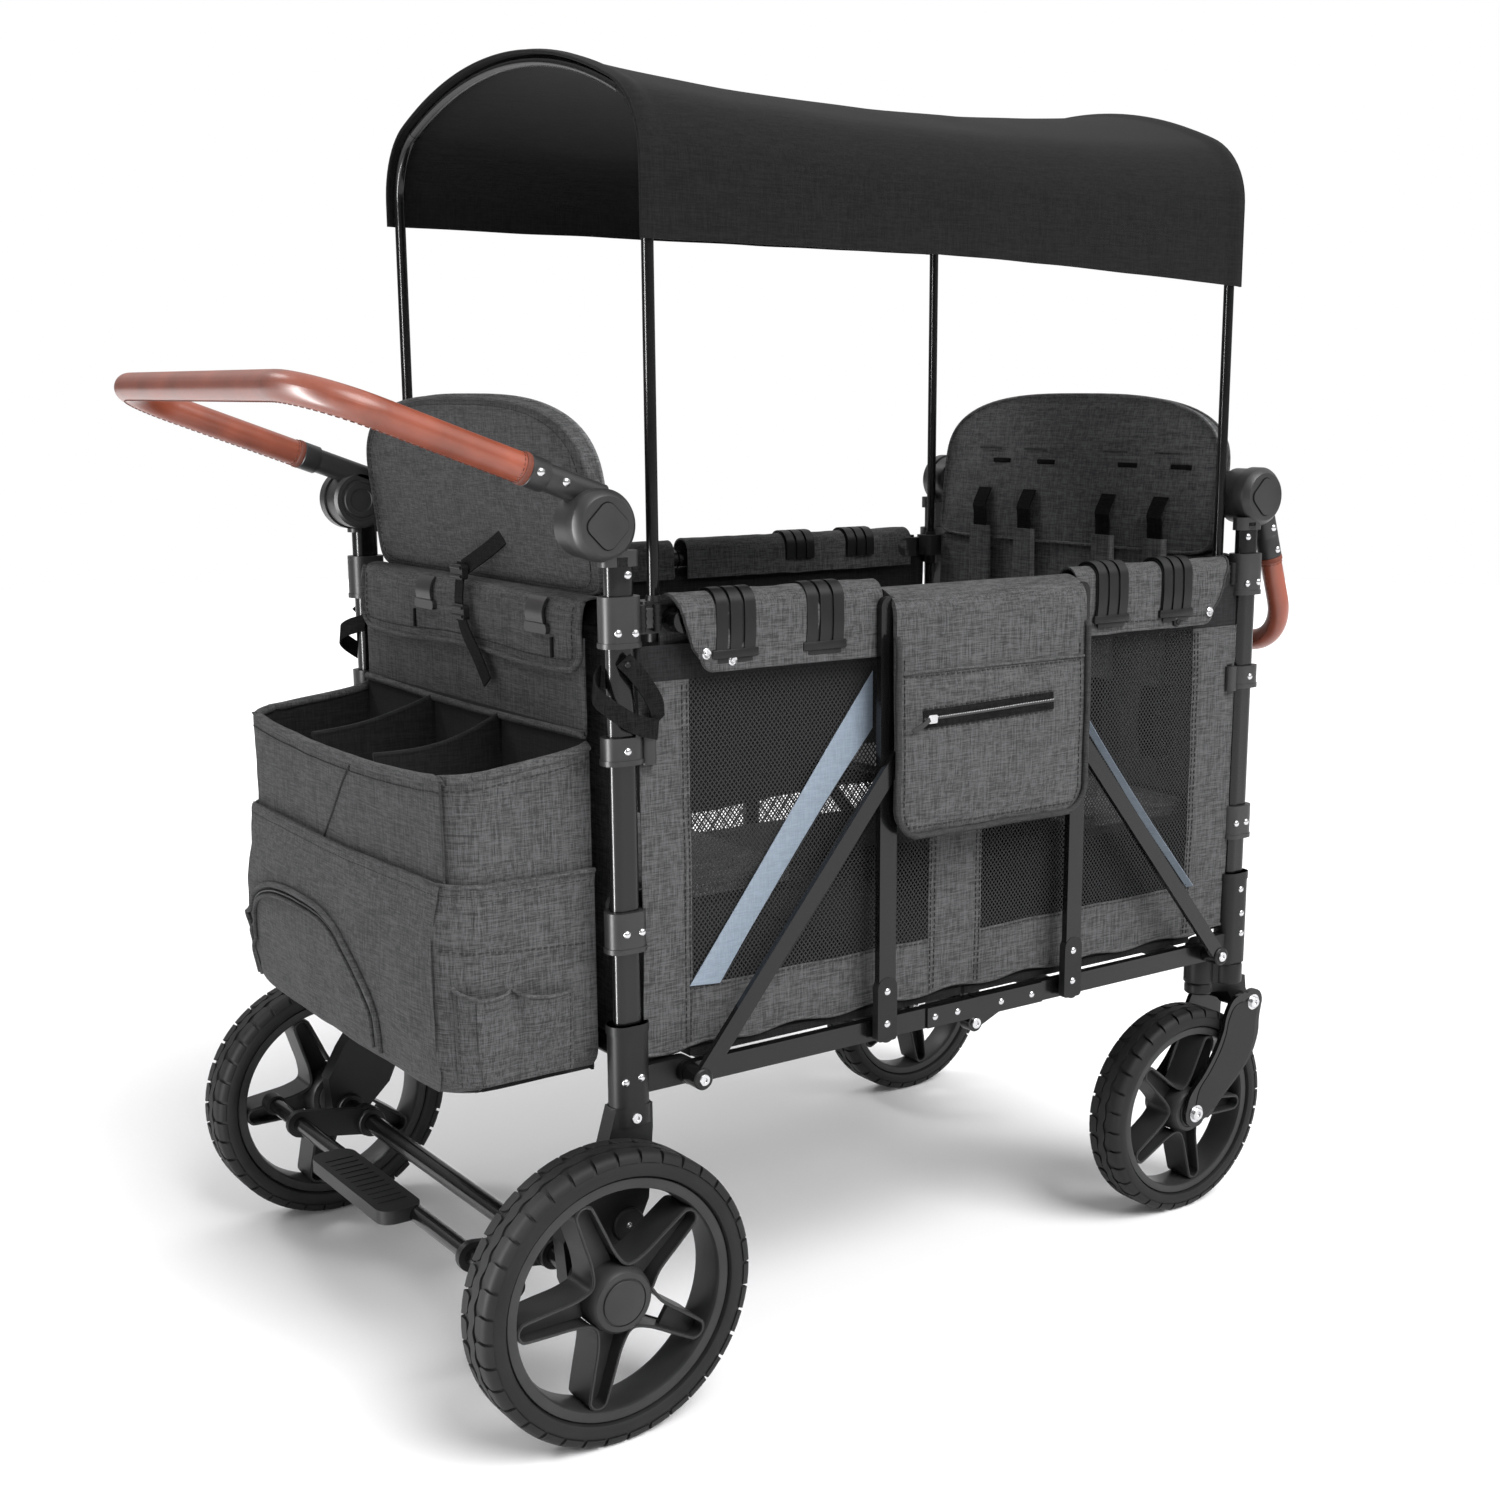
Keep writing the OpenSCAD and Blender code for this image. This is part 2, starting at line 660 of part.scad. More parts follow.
// Bottom rails: each has pivot eyes at the corner and at the middle hinge below the rail
hinge_z = fold_pivot_z - hinge_drop;
hinge_eye_r = 10;
hinge_cut_gap = 0.8;
rail_end_gap = 1.2;
plate_back = 69;
plate_front = 100;
front_rail_inset = 0.5;
web_reach = 40;
module rail_bar(y0, y1) {
    side_plate(y0, y1) {
        translate([-fold_pivot_x, fold_pivot_z - rail_height / 2])
            square([fold_pivot_x - rail_end_gap, rail_height]);
        translate([-fold_pivot_x, fold_pivot_z]) circle(r = rail_height / 2);
    }
}
module rail_bolt_hole() {
    y_rod(bolt_r + run_clear, -fold_pivot_x, fold_pivot_z, rail_in_y - over, rail_out_y + over);
}
module mid_post_pin() { y_rod(pin_r, -mid_post_x, fold_pivot_z, rail_out_y - over, mid_out_y); }
module rear_rails() color("black") in_place() both_sides() {
    difference() {
        union() {
            rail_bar(rail_in_y, rail_out_y);
            mid_post_pin();
        }
        rail_bolt_hole();
        y_rod(hinge_eye_r + hinge_cut_gap, 0, hinge_z, rail_in_y - over, rail_out_y + over);
    }
    for (y = [plate_in_y, rail_out_y]) side_plate(y, y + plate_thick) {
        translate([-plate_back, fold_pivot_z - rail_height / 2])
            square([plate_back + plate_front, rail_height]);
        translate([0, hinge_z]) circle(r = hinge_eye_r);
    }
    y_rod(pin_r, 0, hinge_z, plate_in_y, plate_out_y);
}
module front_rails() color("black") in_place() mirror([1, 0, 0]) both_sides() difference() {
    union() {
        rail_bar(rail_in_y + front_rail_inset, rail_out_y - front_rail_inset);
        side_plate(rail_in_y + front_rail_inset, rail_out_y - front_rail_inset) {
            translate([0, hinge_z]) circle(r = hinge_eye_r);
            polygon([
                [0, hinge_z - hinge_eye_r], [-rail_end_gap, hinge_z], [-rail_end_gap, fold_pivot_z],
                [-web_reach, fold_pivot_z], [-web_reach, fold_pivot_z - rail_height / 2]
            ]);
        }
        mid_post_pin();
    }
    rail_bolt_hole();
    y_rod(pin_r + run_clear, 0, hinge_z, rail_in_y - over, rail_out_y + over);
}

// Floor boards on cross tubes that reach the rails
board_t = 8;
board_lift = 10;
board_low_z = fold_pivot_z + board_lift;
board_half_w = panel_in_y - side_gap;
board_end_gap = 2.5;
board_tail = 12;
floor_tube_r = 10;
floor_tube_share = [0.32, 0.88];
module floor_board(tube_end) {
    box(-fold_pivot_x + board_tail, -board_end_gap, -board_half_w, board_half_w, board_low_z,
        board_low_z + board_t);
    for (s = floor_tube_share) y_rod(floor_tube_r, -fold_pivot_x * s, fold_pivot_z + over, -tube_end,
        tube_end);
}

// Diagonal braces: flat bars with a boss on the corner bolt and a round upper end short of the middle
brace_end_gap = 11;
module braces() {
    both_sides() difference() {
        union() {
            side_plate(brace_in_y, brace_out_y)
                link_2d([-fold_pivot_x, fold_pivot_z], [-brace_end_gap, brace_top_z], brace_w);
            y_rod(bolt_head_r + over, -fold_pivot_x, fold_pivot_z, rail_out_y + side_gap, brace_out_y);
        }
        y_rod(bolt_r + run_clear, -fold_pivot_x, fold_pivot_z, rail_out_y, brace_out_y + over);
    }
}

// Upright side posts between the bottom and top rails
module mid_posts() {
    both_sides() difference() {
        side_plate(mid_in_y, mid_out_y) link_2d([-mid_post_x, fold_pivot_z], [-mid_post_x, top_rail_z],
            mid_post_w);
        y_rod(pin_r + run_clear, -mid_post_x, fold_pivot_z, mid_in_y - over, mid_out_y + over);
        y_rod(pin_r + loose_clear, -mid_post_x, top_rail_z, mid_in_y - over, mid_out_y + over);
    }
}

// Top rails: a tube with a pivot eye at the post and a pin for the side post
top_eye_r = 12;
top_eye_gap = 0.8;
top_tube_start = 15;
module top_rails() {
    both_sides() difference() {
        union() {
            x_rod(top_rail_r, top_rail_y, top_rail_z, -fold_pivot_x + top_tube_start, -rail_end_gap);
            y_rod(top_eye_r, -fold_pivot_x, top_rail_z, lug_out_y + top_eye_gap, top_rail_y + top_rail_r);
            box(-fold_pivot_x, -fold_pivot_x + top_tube_start + over, lug_out_y + top_eye_gap,
                top_rail_y + top_rail_r - over,
                top_rail_z - top_rail_r / 2, top_rail_z + top_rail_r / 2);
            y_rod(pin_r, -mid_post_x, top_rail_z, top_rail_y, mid_out_y);
        }
        y_rod(pin_r + run_clear, -fold_pivot_x, top_rail_z, lug_in_y, top_rail_y + top_rail_r + over);
    }
}

// Padded rim on the top rail: an oval roll with an apron on the outside
roll_start = 20;
roll_end_x = 152;
roll_up = 7;
roll_down = 5;
apron_low_z = 748;
apron_t = 5;
roll_clear = 0.3;
module rim_rolls() {
    both_sides() translate([-fold_pivot_x + roll_start, 0, 0]) rotate([90, 0, 90])
        linear_extrude(fold_pivot_x - roll_start - roll_end_x) difference() {
            union() {
                for (z = [top_rail_z - roll_down, top_rail_z + roll_up]) translate([top_rail_y, z])
                    circle(r = roll_half_w);
                translate([top_rail_y - roll_half_w, top_rail_z - roll_down])
                    square([2 * roll_half_w, roll_down + roll_up]);
                translate([roll_out_y - apron_t, apron_low_z]) square([apron_t, top_rail_z - apron_low_z]);
            }
            translate([top_rail_y, top_rail_z]) circle(r = top_rail_r + roll_clear);
        }
}

// Plastic clips over the outside of the padded rim
clip_w = 50;
clip_low_z = 762;
clip_gap = 0.2;
rear_clip_x = [319, 211];
front_clip_x = [293, 190];
module rim_clips(places) {
    both_sides() for (x = places) translate([-x - clip_w / 2, 0, 0]) rotate([90, 0, 90])
        linear_extrude(clip_w) difference() {
        union() {
            translate([top_rail_y, top_rail_z + roll_up]) circle(r = roll_half_w + clip_wall);
            translate([top_rail_y, clip_low_z]) square([roll_half_w + clip_wall,
                top_rail_z + roll_up - clip_low_z]);
        }
        translate([top_rail_y, top_rail_z + roll_up]) circle(r = roll_half_w + clip_gap);
        translate([top_rail_y - roll_half_w - 2 * clip_wall, clip_low_z - over])
            square([2 * roll_half_w + 2 * clip_wall + clip_gap, top_rail_z + roll_up - clip_low_z + over]);
    }
}

// Side pouch: a padded flap that hangs outside the side frame from a fold over the top rails
pouch_corner_r = 28;
pouch_fold_t = 4;
pouch_tail_low_z = 720;
module side_pouch() color("dimgray") in_place() mirror([0, 1, 0]) {
    fold_low_z = top_rail_z + top_rail_r + seat_gap;
    fold_high_z = fold_low_z + pouch_fold_t;
    tail_out_y = top_rail_y - top_rail_r - seat_gap;
    half = pouch_w / 2 - pouch_fold_t;
    side_plate(pouch_in_y, pouch_in_y + pouch_thick)
        translate([-pouch_w / 2, pouch_low_z]) round_rect(pouch_w, fold_high_z - pouch_low_z, pouch_corner_r);
    box(-half + pouch_corner_r, half - pouch_corner_r, tail_out_y - pouch_fold_t,
        pouch_in_y + pouch_thick, fold_low_z, fold_high_z);
    box(-half + pouch_corner_r, half - pouch_corner_r, tail_out_y - pouch_fold_t, tail_out_y,
        pouch_tail_low_z, fold_high_z);
}

// Side panels of cloth between the posts
module side_panels() color("dimgray") in_place() both_sides()
    box(-post_x + collar_half_x + side_gap, post_x - collar_half_x - side_gap, panel_in_y,
        panel_in_y + panel_thick,
        panel_hem_z, top_rail_z - roll_down - roll_half_w - seat_gap);

// Handles: arms with a turning hub on each side, and a grip bent from one bar
hub_turn_gap = 0.5;
arm_reach = 68;
arm_h = 27;
module at_rear_handle() { mirror([1, 0, 0]) at_handle(-rear_handle_angle) children(); }
module at_front_handle() { at_handle(front_handle_angle) children(); }
module at_handle(angle) { translate([hub_x, 0, hub_z]) rotate([0, angle, 0]) children(); }
module handle_arms() {
    both_sides() difference() {
        union() {
            y_rod(hub_r - over, 0, 0, arm_y - arm_half_w, hub_in_y - hub_turn_gap);
            box(0, arm_reach, arm_y - arm_half_w, hub_in_y - hub_turn_gap, arm_offset - arm_h / 2,
                arm_offset + arm_h / 2);
        }
        y_rod(hub_pin_r + run_clear, 0, 0, arm_y - arm_half_w - over, hub_in_y);
    }
}
module handle_grip(len, bend_r, r) {
    translate([0, 0, arm_offset]) {
        both_sides() {
            x_rod(r, arm_y, 0, arm_reach + loose_clear, len - bend_r);
            translate([len - bend_r, arm_y - bend_r, 0]) rotate_extrude(angle = 90)
                translate([bend_r, 0]) circle(r = r);
        }
        y_rod(r, len, 0, -arm_y + bend_r, arm_y - bend_r);
    }
}
module hub_button() {
    translate([hub_x, 0, hub_z]) side_plate(hub_out_y + button_proud - button_t,
        hub_out_y + button_proud) button_2d(0);
}

// Caster: swivel head in the corner barrel, suspension fork on its pivot, wheel on the fork's axle
swivel_x = post_x - swivel_back;
swivel_y = front_track / 2;
barrel_r = 19;
barrel_low_z = 288;
barrel_high_z = 330;
stem_r = 8;
stem_high_z = 320;
crown_high_z = barrel_low_z - side_gap;
crown_t = 13;
crown_low_z = crown_high_z - crown_t;
crown_half_w = 13;
crown_end_r = 17;
fork_lug_r = 14;
front_casting_low_z = 314;
front_casting_high_z = 430;
rear_casting_high_z = 400;
fork_pivot_x = swivel_x + fork_pivot_ahead;
front_axle_x = swivel_x - caster_trail;
front_axle_z = front_wheel_d / 2;
front_axle_r = 5;
blade_t = 6;
blade_gap = 4.5;
blade_in = front_tyre_w / 2 + blade_gap;
blade_top_w = 34;
spacer_r = 9;
front_hub_half = 28;
front_hub_r_share = 0.2;
module at_caster() { translate([0, swivel_y, 0]) children(); }
module caster_head() color("black") in_place() at_caster() difference() {
    union() {
        z_rod(stem_r, swivel_x, 0, crown_high_z - over, stem_high_z);
        z_rod(crown_end_r, swivel_x, 0, crown_low_z, crown_high_z);
        box(swivel_x, fork_pivot_x + fork_lug_r, -crown_half_w, crown_half_w, crown_low_z, crown_high_z);
        box(fork_pivot_x - fork_lug_r, fork_pivot_x + fork_lug_r, -crown_half_w, crown_half_w,
            fork_pivot_z, crown_high_z);
        y_rod(fork_lug_r, fork_pivot_x, fork_pivot_z, -crown_half_w, crown_half_w);
    }
    y_rod(pin_r + run_clear, fork_pivot_x, fork_pivot_z, -crown_half_w - over, crown_half_w + over);
}
module fork_arm() color("black") in_place() at_caster() {
    both_sides() {
        side_plate(blade_in, blade_in + blade_t) {
            link_2d([fork_pivot_x, fork_pivot_z], [front_axle_x, front_axle_z], blade_top_w - fork_lug_r / 2);
            translate([fork_pivot_x, fork_pivot_z]) circle(r = blade_top_w / 2);
        }
        y_rod(spacer_r, fork_pivot_x, fork_pivot_z, crown_half_w + loose_clear, blade_in + over);
    }
    y_rod(pin_r, fork_pivot_x, fork_pivot_z, -blade_in - over, blade_in + over);
    y_rod(front_axle_r, front_axle_x, front_axle_z, -blade_in - over, blade_in + over);
}
module at_front_wheel() { translate([front_axle_x, swivel_y, front_axle_z]) children(); }
module front_tyre() { tyre(front_wheel_d, front_tyre_w); }
module front_rim() {
    rim(front_wheel_d, front_tyre_w, front_wheel_d / 2 * front_hub_r_share, front_hub_half,
        front_axle_r + run_clear, front_hub_half + over, front_spoke_phase);
}

// Front corner castings with the swivel barrels
lobe_r = 18;
module front_corners() color("black") in_place() both_sides() difference() {
    union() {
        mirror([1, 0, 0]) corner_casting(front_casting_low_z, front_casting_high_z);
        z_rod(lobe_r, post_x, post_y, barrel_low_z, front_casting_low_z + over);
        z_rod(barrel_r, swivel_x, swivel_y, barrel_low_z, barrel_high_z);
        box(swivel_x, post_x, swivel_y - crown_half_w, post_y, barrel_low_z, front_casting_low_z + over);
    }
    z_rod(stem_r + run_clear, swivel_x, swivel_y, barrel_low_z - over, stem_high_z + side_gap);
}

// Canopy hoops, with a ferrule at each bend, and the cloth stretched over them
hoop_shoulder_y = pole_y - hoop_shoulder_r;
hoop_rise = sqrt(pow(hoop_crown_r - hoop_shoulder_r, 2) - pow(hoop_shoulder_y, 2));
hoop_tilt = atan2(hoop_rise, hoop_shoulder_y);
hoop_centre_z = hoop_spring_z - hoop_rise;
cloth_gap = 0.7;
cloth_overhang = 11;
arch_steps = 10;
ferrule_half = 4;
ferrule_wall = 0.35;
ferrule_turn = asin(ferrule_half / 4 / hoop_crown_r);
rear_pole_x = -post_x + rear_pole_ahead;
front_pole_x = post_x - front_pole_back;
module hoop(x) {
    both_sides() {
        z_rod(pole_r, x, pole_y, pole_foot_z, hoop_spring_z);
        translate([x, hoop_shoulder_y, hoop_spring_z]) rotate([90, 0, 90])
            rotate_extrude(angle = hoop_tilt) translate([hoop_shoulder_r, 0]) circle(r = pole_r);
        translate([x, hoop_shoulder_y, hoop_spring_z]) rotate([hoop_tilt, 0, 0])
            translate([0, hoop_shoulder_r, -ferrule_half])
            cylinder(r = pole_r + ferrule_wall, h = 2 * ferrule_half);
    }
    translate([x, 0, hoop_centre_z]) rotate([90, 0, 90]) rotate(hoop_tilt + ferrule_turn)
        rotate_extrude(angle = 180 - 2 * (hoop_tilt + ferrule_turn)) translate([hoop_crown_r, 0])
            circle(r = pole_r);
}
function arch_half(grow) = concat(
    [[pole_y + grow, canopy_hem_z]],
    [for (i = [0:arch_steps]) let (a = hoop_tilt * i / arch_steps)
        [hoop_shoulder_y + (hoop_shoulder_r + grow) * cos(a),
            hoop_spring_z + (hoop_shoulder_r + grow) * sin(a)]],
    [for (i = [1:arch_steps]) let (a = hoop_tilt + (90 - hoop_tilt) * i / arch_steps)
        [(hoop_crown_r + grow) * cos(a), hoop_centre_z + (hoop_crown_r + grow) * sin(a)]]
);
function mirrored(points) = [for (i = [len(points) - 2:-1:0]) [-points[i][0], points[i][1]]];
function arch(grow) = let (half = arch_half(grow)) concat(half, mirrored(half));
function reversed(points) = [for (i = [len(points) - 1:-1:0]) points[i]];
module canopy_fabric() color("black") in_place()
    translate([rear_pole_x - cloth_overhang, 0, 0]) rotate([90, 0, 90])
    linear_extrude(front_pole_x - rear_pole_x + 2 * cloth_overhang)
    polygon(concat(arch(pole_r + cloth_gap + canopy_cloth), reversed(arch(pole_r + cloth_gap))));

// The named pieces
module rear_end_frame() color("black") in_place() end_frame();
module rear_corners() color("black") in_place() both_sides()
    corner_casting(casting_low_z, rear_casting_high_z);
module rear_post_fittings() color("darkslategray") in_place() post_fittings(rear_pole_ahead);
module rear_wall() color("dimgray") in_place() end_wall();
module rear_backrest() color("dimgray") in_place() backrest();
module rear_fasteners() color("silver") in_place() {
    post_rivets([fold_pivot_z + arm_end_r, rear_casting_high_z - rivet_step]);
    both_sides() rivet(-post_x, leg_top_z - leg_boss_r, leg_out_y);
}
module rear_handle_grip() color("sienna") in_place() at_rear_handle()
    handle_grip(rear_handle_len, rear_bend_r, rear_grip_r);
module rear_handle_arms() color("black") in_place() at_rear_handle() handle_arms();
module rear_button_l() color("darkslategray") in_place() mirror([1, 0, 0]) hub_button();
module rear_button_r() color("darkslategray") in_place() mirror([1, 0, 0]) mirror([0, 1, 0]) hub_button();
module rear_floor_board() color("dimgray") in_place() floor_board(rail_in_y - loose_clear);
module front_floor_board() color("dimgray") in_place() mirror([1, 0, 0])
    floor_board(rail_in_y + front_rail_inset - loose_clear);
module rear_braces() color("black") in_place() braces();
module front_braces() color("black") in_place() mirror([1, 0, 0]) braces();
module rear_mid_posts() color("black") in_place() mid_posts();
module front_mid_posts() color("black") in_place() mirror([1, 0, 0]) mid_posts();
module rear_top_rails() color("black") in_place() top_rails();
module front_top_rails() color("black") in_place() mirror([1, 0, 0]) top_rails();
module rear_rim_rolls() color("dimgray") in_place() rim_rolls();
module front_rim_rolls() color("dimgray") in_place() mirror([1, 0, 0]) rim_rolls();
module rear_rim_clips() color("darkslategray") in_place() rim_clips(rear_clip_x);
module front_rim_clips() color("darkslategray") in_place() mirror([1, 0, 0]) rim_clips(front_clip_x);
module rear_bench() color("dimgray") in_place() bench();
module rear_bench_pad() color("gray") in_place() bench_pad();
module front_bench() color("dimgray") in_place() mirror([1, 0, 0]) bench();
module front_bench_pad() color("gray") in_place() mirror([1, 0, 0]) bench_pad();
module front_end_frame() color("black") in_place() mirror([1, 0, 0]) end_frame();
module front_post_fittings() color("darkslategray") in_place() mirror([1, 0, 0])
    post_fittings(front_pole_back);
module front_wall() color("dimgray") in_place() mirror([1, 0, 0]) end_wall();
module front_backrest() color("dimgray") in_place() mirror([1, 0, 0]) backrest();
module front_fasteners() color("silver") in_place() mirror([1, 0, 0])
    post_rivets([fold_pivot_z + arm_end_r, front_casting_high_z - rivet_step,
        front_casting_high_z - 3 * rivet_step]);
module front_handle_grip() color("sienna") in_place() at_front_handle()
    handle_grip(front_handle_len, front_bend_r, front_grip_r);
module front_handle_arms() color("black") in_place() at_front_handle() handle_arms();
module front_button_l() color("darkslategray") in_place() hub_button();
module front_button_r() color("darkslategray") in_place() mirror([0, 1, 0]) hub_button();
module caster_head_l() caster_head();
module caster_head_r() mirror([0, 1, 0]) caster_head();
module fork_arm_l() fork_arm();
module fork_arm_r() mirror([0, 1, 0]) fork_arm();
module front_tyre_l() color("black") in_place() at_front_wheel() front_tyre();
module front_rim_l() color("darkslategray") in_place() at_front_wheel() front_rim();
module front_tyre_r() color("black") in_place() mirror([0, 1, 0]) at_front_wheel() front_tyre();
module front_rim_r() color("darkslategray") in_place() mirror([0, 1, 0]) at_front_wheel() front_rim();
module canopy_rear_hoop() color("black") in_place() hoop(rear_pole_x);
module canopy_front_hoop() color("black") in_place() hoop(front_pole_x);

rear_end_frame();
rear_corners();
rear_axle();
rear_post_fittings();
rear_wall();
rear_backrest();
organizer_bag();
rear_fasteners();
side_panels();
rear_handle_grip();
rear_handle_arms();
rear_button_l();
rear_button_r();
brake_bar();
rear_tyre_l();
rear_rim_l();
rear_tyre_r();
rear_rim_r();
rear_rails();
rear_floor_board();
front_rails();
front_floor_board();
rear_braces();
front_braces();
rear_mid_posts();
side_pouch();
front_mid_posts();
rear_top_rails();
rear_rim_rolls();
rear_rim_clips();
front_top_rails();
front_rim_rolls();
front_rim_clips();
rear_bench();
rear_bench_pad();
front_bench();
front_bench_pad();
front_end_frame();
front_corners();
front_post_fittings();
front_wall();
front_backrest();
front_fasteners();
front_handle_grip();
front_handle_arms();
front_button_l();
front_button_r();
caster_head_l();
caster_head_r();
fork_arm_l();
fork_arm_r();
front_tyre_l();
front_rim_l();
front_tyre_r();
front_rim_r();
canopy_rear_hoop();
canopy_fabric();
canopy_front_hoop();
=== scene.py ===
import math
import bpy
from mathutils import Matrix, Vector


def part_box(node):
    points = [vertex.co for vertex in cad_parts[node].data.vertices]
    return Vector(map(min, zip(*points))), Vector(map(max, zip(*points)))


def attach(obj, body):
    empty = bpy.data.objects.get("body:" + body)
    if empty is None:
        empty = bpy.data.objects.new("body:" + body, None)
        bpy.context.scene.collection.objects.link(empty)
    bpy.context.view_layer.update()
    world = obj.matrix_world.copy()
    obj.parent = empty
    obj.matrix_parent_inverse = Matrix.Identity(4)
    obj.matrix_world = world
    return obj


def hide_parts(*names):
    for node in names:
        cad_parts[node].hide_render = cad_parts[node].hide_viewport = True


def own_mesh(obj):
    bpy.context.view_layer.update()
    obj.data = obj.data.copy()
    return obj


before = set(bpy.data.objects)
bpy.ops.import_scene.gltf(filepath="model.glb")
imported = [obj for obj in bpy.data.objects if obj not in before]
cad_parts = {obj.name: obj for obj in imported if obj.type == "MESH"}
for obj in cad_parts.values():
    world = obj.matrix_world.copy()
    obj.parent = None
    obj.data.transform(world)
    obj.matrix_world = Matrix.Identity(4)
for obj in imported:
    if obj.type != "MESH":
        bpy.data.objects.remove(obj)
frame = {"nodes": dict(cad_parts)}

from types import SimpleNamespace

import bmesh
import bpy
from bpy.props import FloatProperty, FloatVectorProperty, IntProperty, PointerProperty
from bpy.types import Operator, Panel, PropertyGroup
from mathutils import Matrix, Vector, noise

bl_info = {
    "name": "Folding stroller wagon looks",
    "version": (1, 0, 0),
    "blender": (4, 5, 0),
    "location": "View3D > Sidebar > Wagon",
    "description": "Dresses the folding stroller wagon's frame with cloth, leather, wheels and fittings",
    "category": "Object",
}

# The tub's middle and the box of the solids
MILLIMETRE = 0.001
TUB_MIDDLE = (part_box("rear_end_frame")[0].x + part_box("front_end_frame")[1].x) / 2
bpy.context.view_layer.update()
TO_ROW = Matrix.Translation((TUB_MIDDLE, 0, 0)) @ Matrix.Scale(MILLIMETRE, 4)
X_AXIS = Vector((1, 0, 0))
Y_AXIS = Vector((0, 1, 0))
Z_AXIS = Vector((0, 0, 1))

# Both ends and both sides, each with the sign of its place along or across
ENDS = (("rear", -1), ("front", 1))
SIDES = (("l", 1), ("r", -1))

# Places in millimetres from the tub's middle: the sleeves round a rear post, the collars on it, the hub
# buttons, the bolt that a side folds on, the swivel of a front caster and the bolt of its fork
POST_X, POST_Y = (-456, -414), (280.5, 309.6)
CUFF_X = (-457, -413)
COLLARS_Z = ((774, 823), (661, 688), (474, 515))
BUTTON_Y = (300.5, 309.3)
FOLD_X, FOLD_Z = -374, 340
SWIVEL_X, SWIVEL_Y = 405, 275
FORK_X, FORK_Z = 468, 258

# The rim cloth's outer end at each end of the wagon, its inner end on each side, and the clips on it at each
# end
RIM_OUTER = {"rear": 386, "front": 384}
RIM_INNER = {-1: 137, 1: 10}
RIM_CLIPS = {"rear": (-319, -211), "front": (190, 293)}

# Harness straps and the slots above them, across the wagon
HARNESS_Y = (-172, -80, 70, 160)
SLOT_Y = (-196, -104, 48, 136)

# The share of a pad's grid that lies on each of its two faces; the rest is the edge between them
PAD_FACE = 0.44


def length(name, text, size):
    """A length property that is given in millimetres."""
    return FloatProperty(name=name, description=text, default=size * MILLIMETRE, unit="LENGTH")


def angle(name, text, degrees):
    """An angle property that is given in degrees."""
    return FloatProperty(name=name, description=text, default=math.radians(degrees), unit="ROTATION")


def share(name, text, value):
    """A plain share from nought to one."""
    return FloatProperty(name=name, description=text, default=value, min=0, max=1, subtype="FACTOR")


def paint(name, text, colour):
    """A colour property, linear red, green and blue."""
    return FloatVectorProperty(name=name, description=text, default=colour, size=3, min=0, max=1,
                               subtype="COLOR")


def count(name, text, value):
    """A whole number of pieces."""
    return IntProperty(name=name, description=text, default=value, min=1)


def in_mm(group):
    """The values of a property group, with every length in millimetres."""
    values = SimpleNamespace()
    for key in group.__annotations__:
        value = getattr(group, key)
        if group.bl_rna.properties[key].unit == "LENGTH":
            value = value / MILLIMETRE
        setattr(values, key, value)
    return values


class WagonColours(PropertyGroup):
    """Colours of the wagon's finishes"""

    charcoal: paint("Charcoal cloth", "Heather cloth of the tub, bag and rim", (0.072, 0.072, 0.0735))
    lining: paint("Dark lining", "Cloth inside the tub and the bag", (0.018, 0.018, 0.019))
    # Painted light: the seat cloth is the charcoal cloth made lighter, to lift the inner faces and pads out
    # of the canopy's shade
    seat: paint("Seat cloth", "Inner faces of the backrests and the bench pads", (0.135, 0.135, 0.138))
    canopy: paint("Canopy cloth", "Black cloth of the canopy", (0.011, 0.011, 0.0115))
    net: paint("Net", "Black net of the side windows", (0.028, 0.028, 0.0287))
    webbing: paint("Webbing", "Straps and bindings", (0.010, 0.010, 0.010))
    ribbon: paint("Ribbon", "Pale ribbon across the side windows", (0.20, 0.245, 0.30))
    frame: paint("Frame", "Gloss black tubes", (0.004, 0.004, 0.0043))
    casting: paint("Castings", "Satin black mouldings", (0.008, 0.008, 0.0085))
    fitting: paint("Fittings", "Grained dark grey mouldings", (0.024, 0.024, 0.0245))
    leather: paint("Leather", "Tan leather of the grips", (0.25, 0.056, 0.027))
    rubber: paint("Rubber", "Tyres", (0.0095, 0.0095, 0.0097))
    rim: paint("Rims", "Moulded wheel rims", (0.026, 0.026, 0.0264))
    steel: paint("Steel", "Rivets, bolts and snaps", (0.62, 0.62, 0.63))
    floor: paint("Floor", "Pale studio floor", (0.96, 0.955, 0.965))


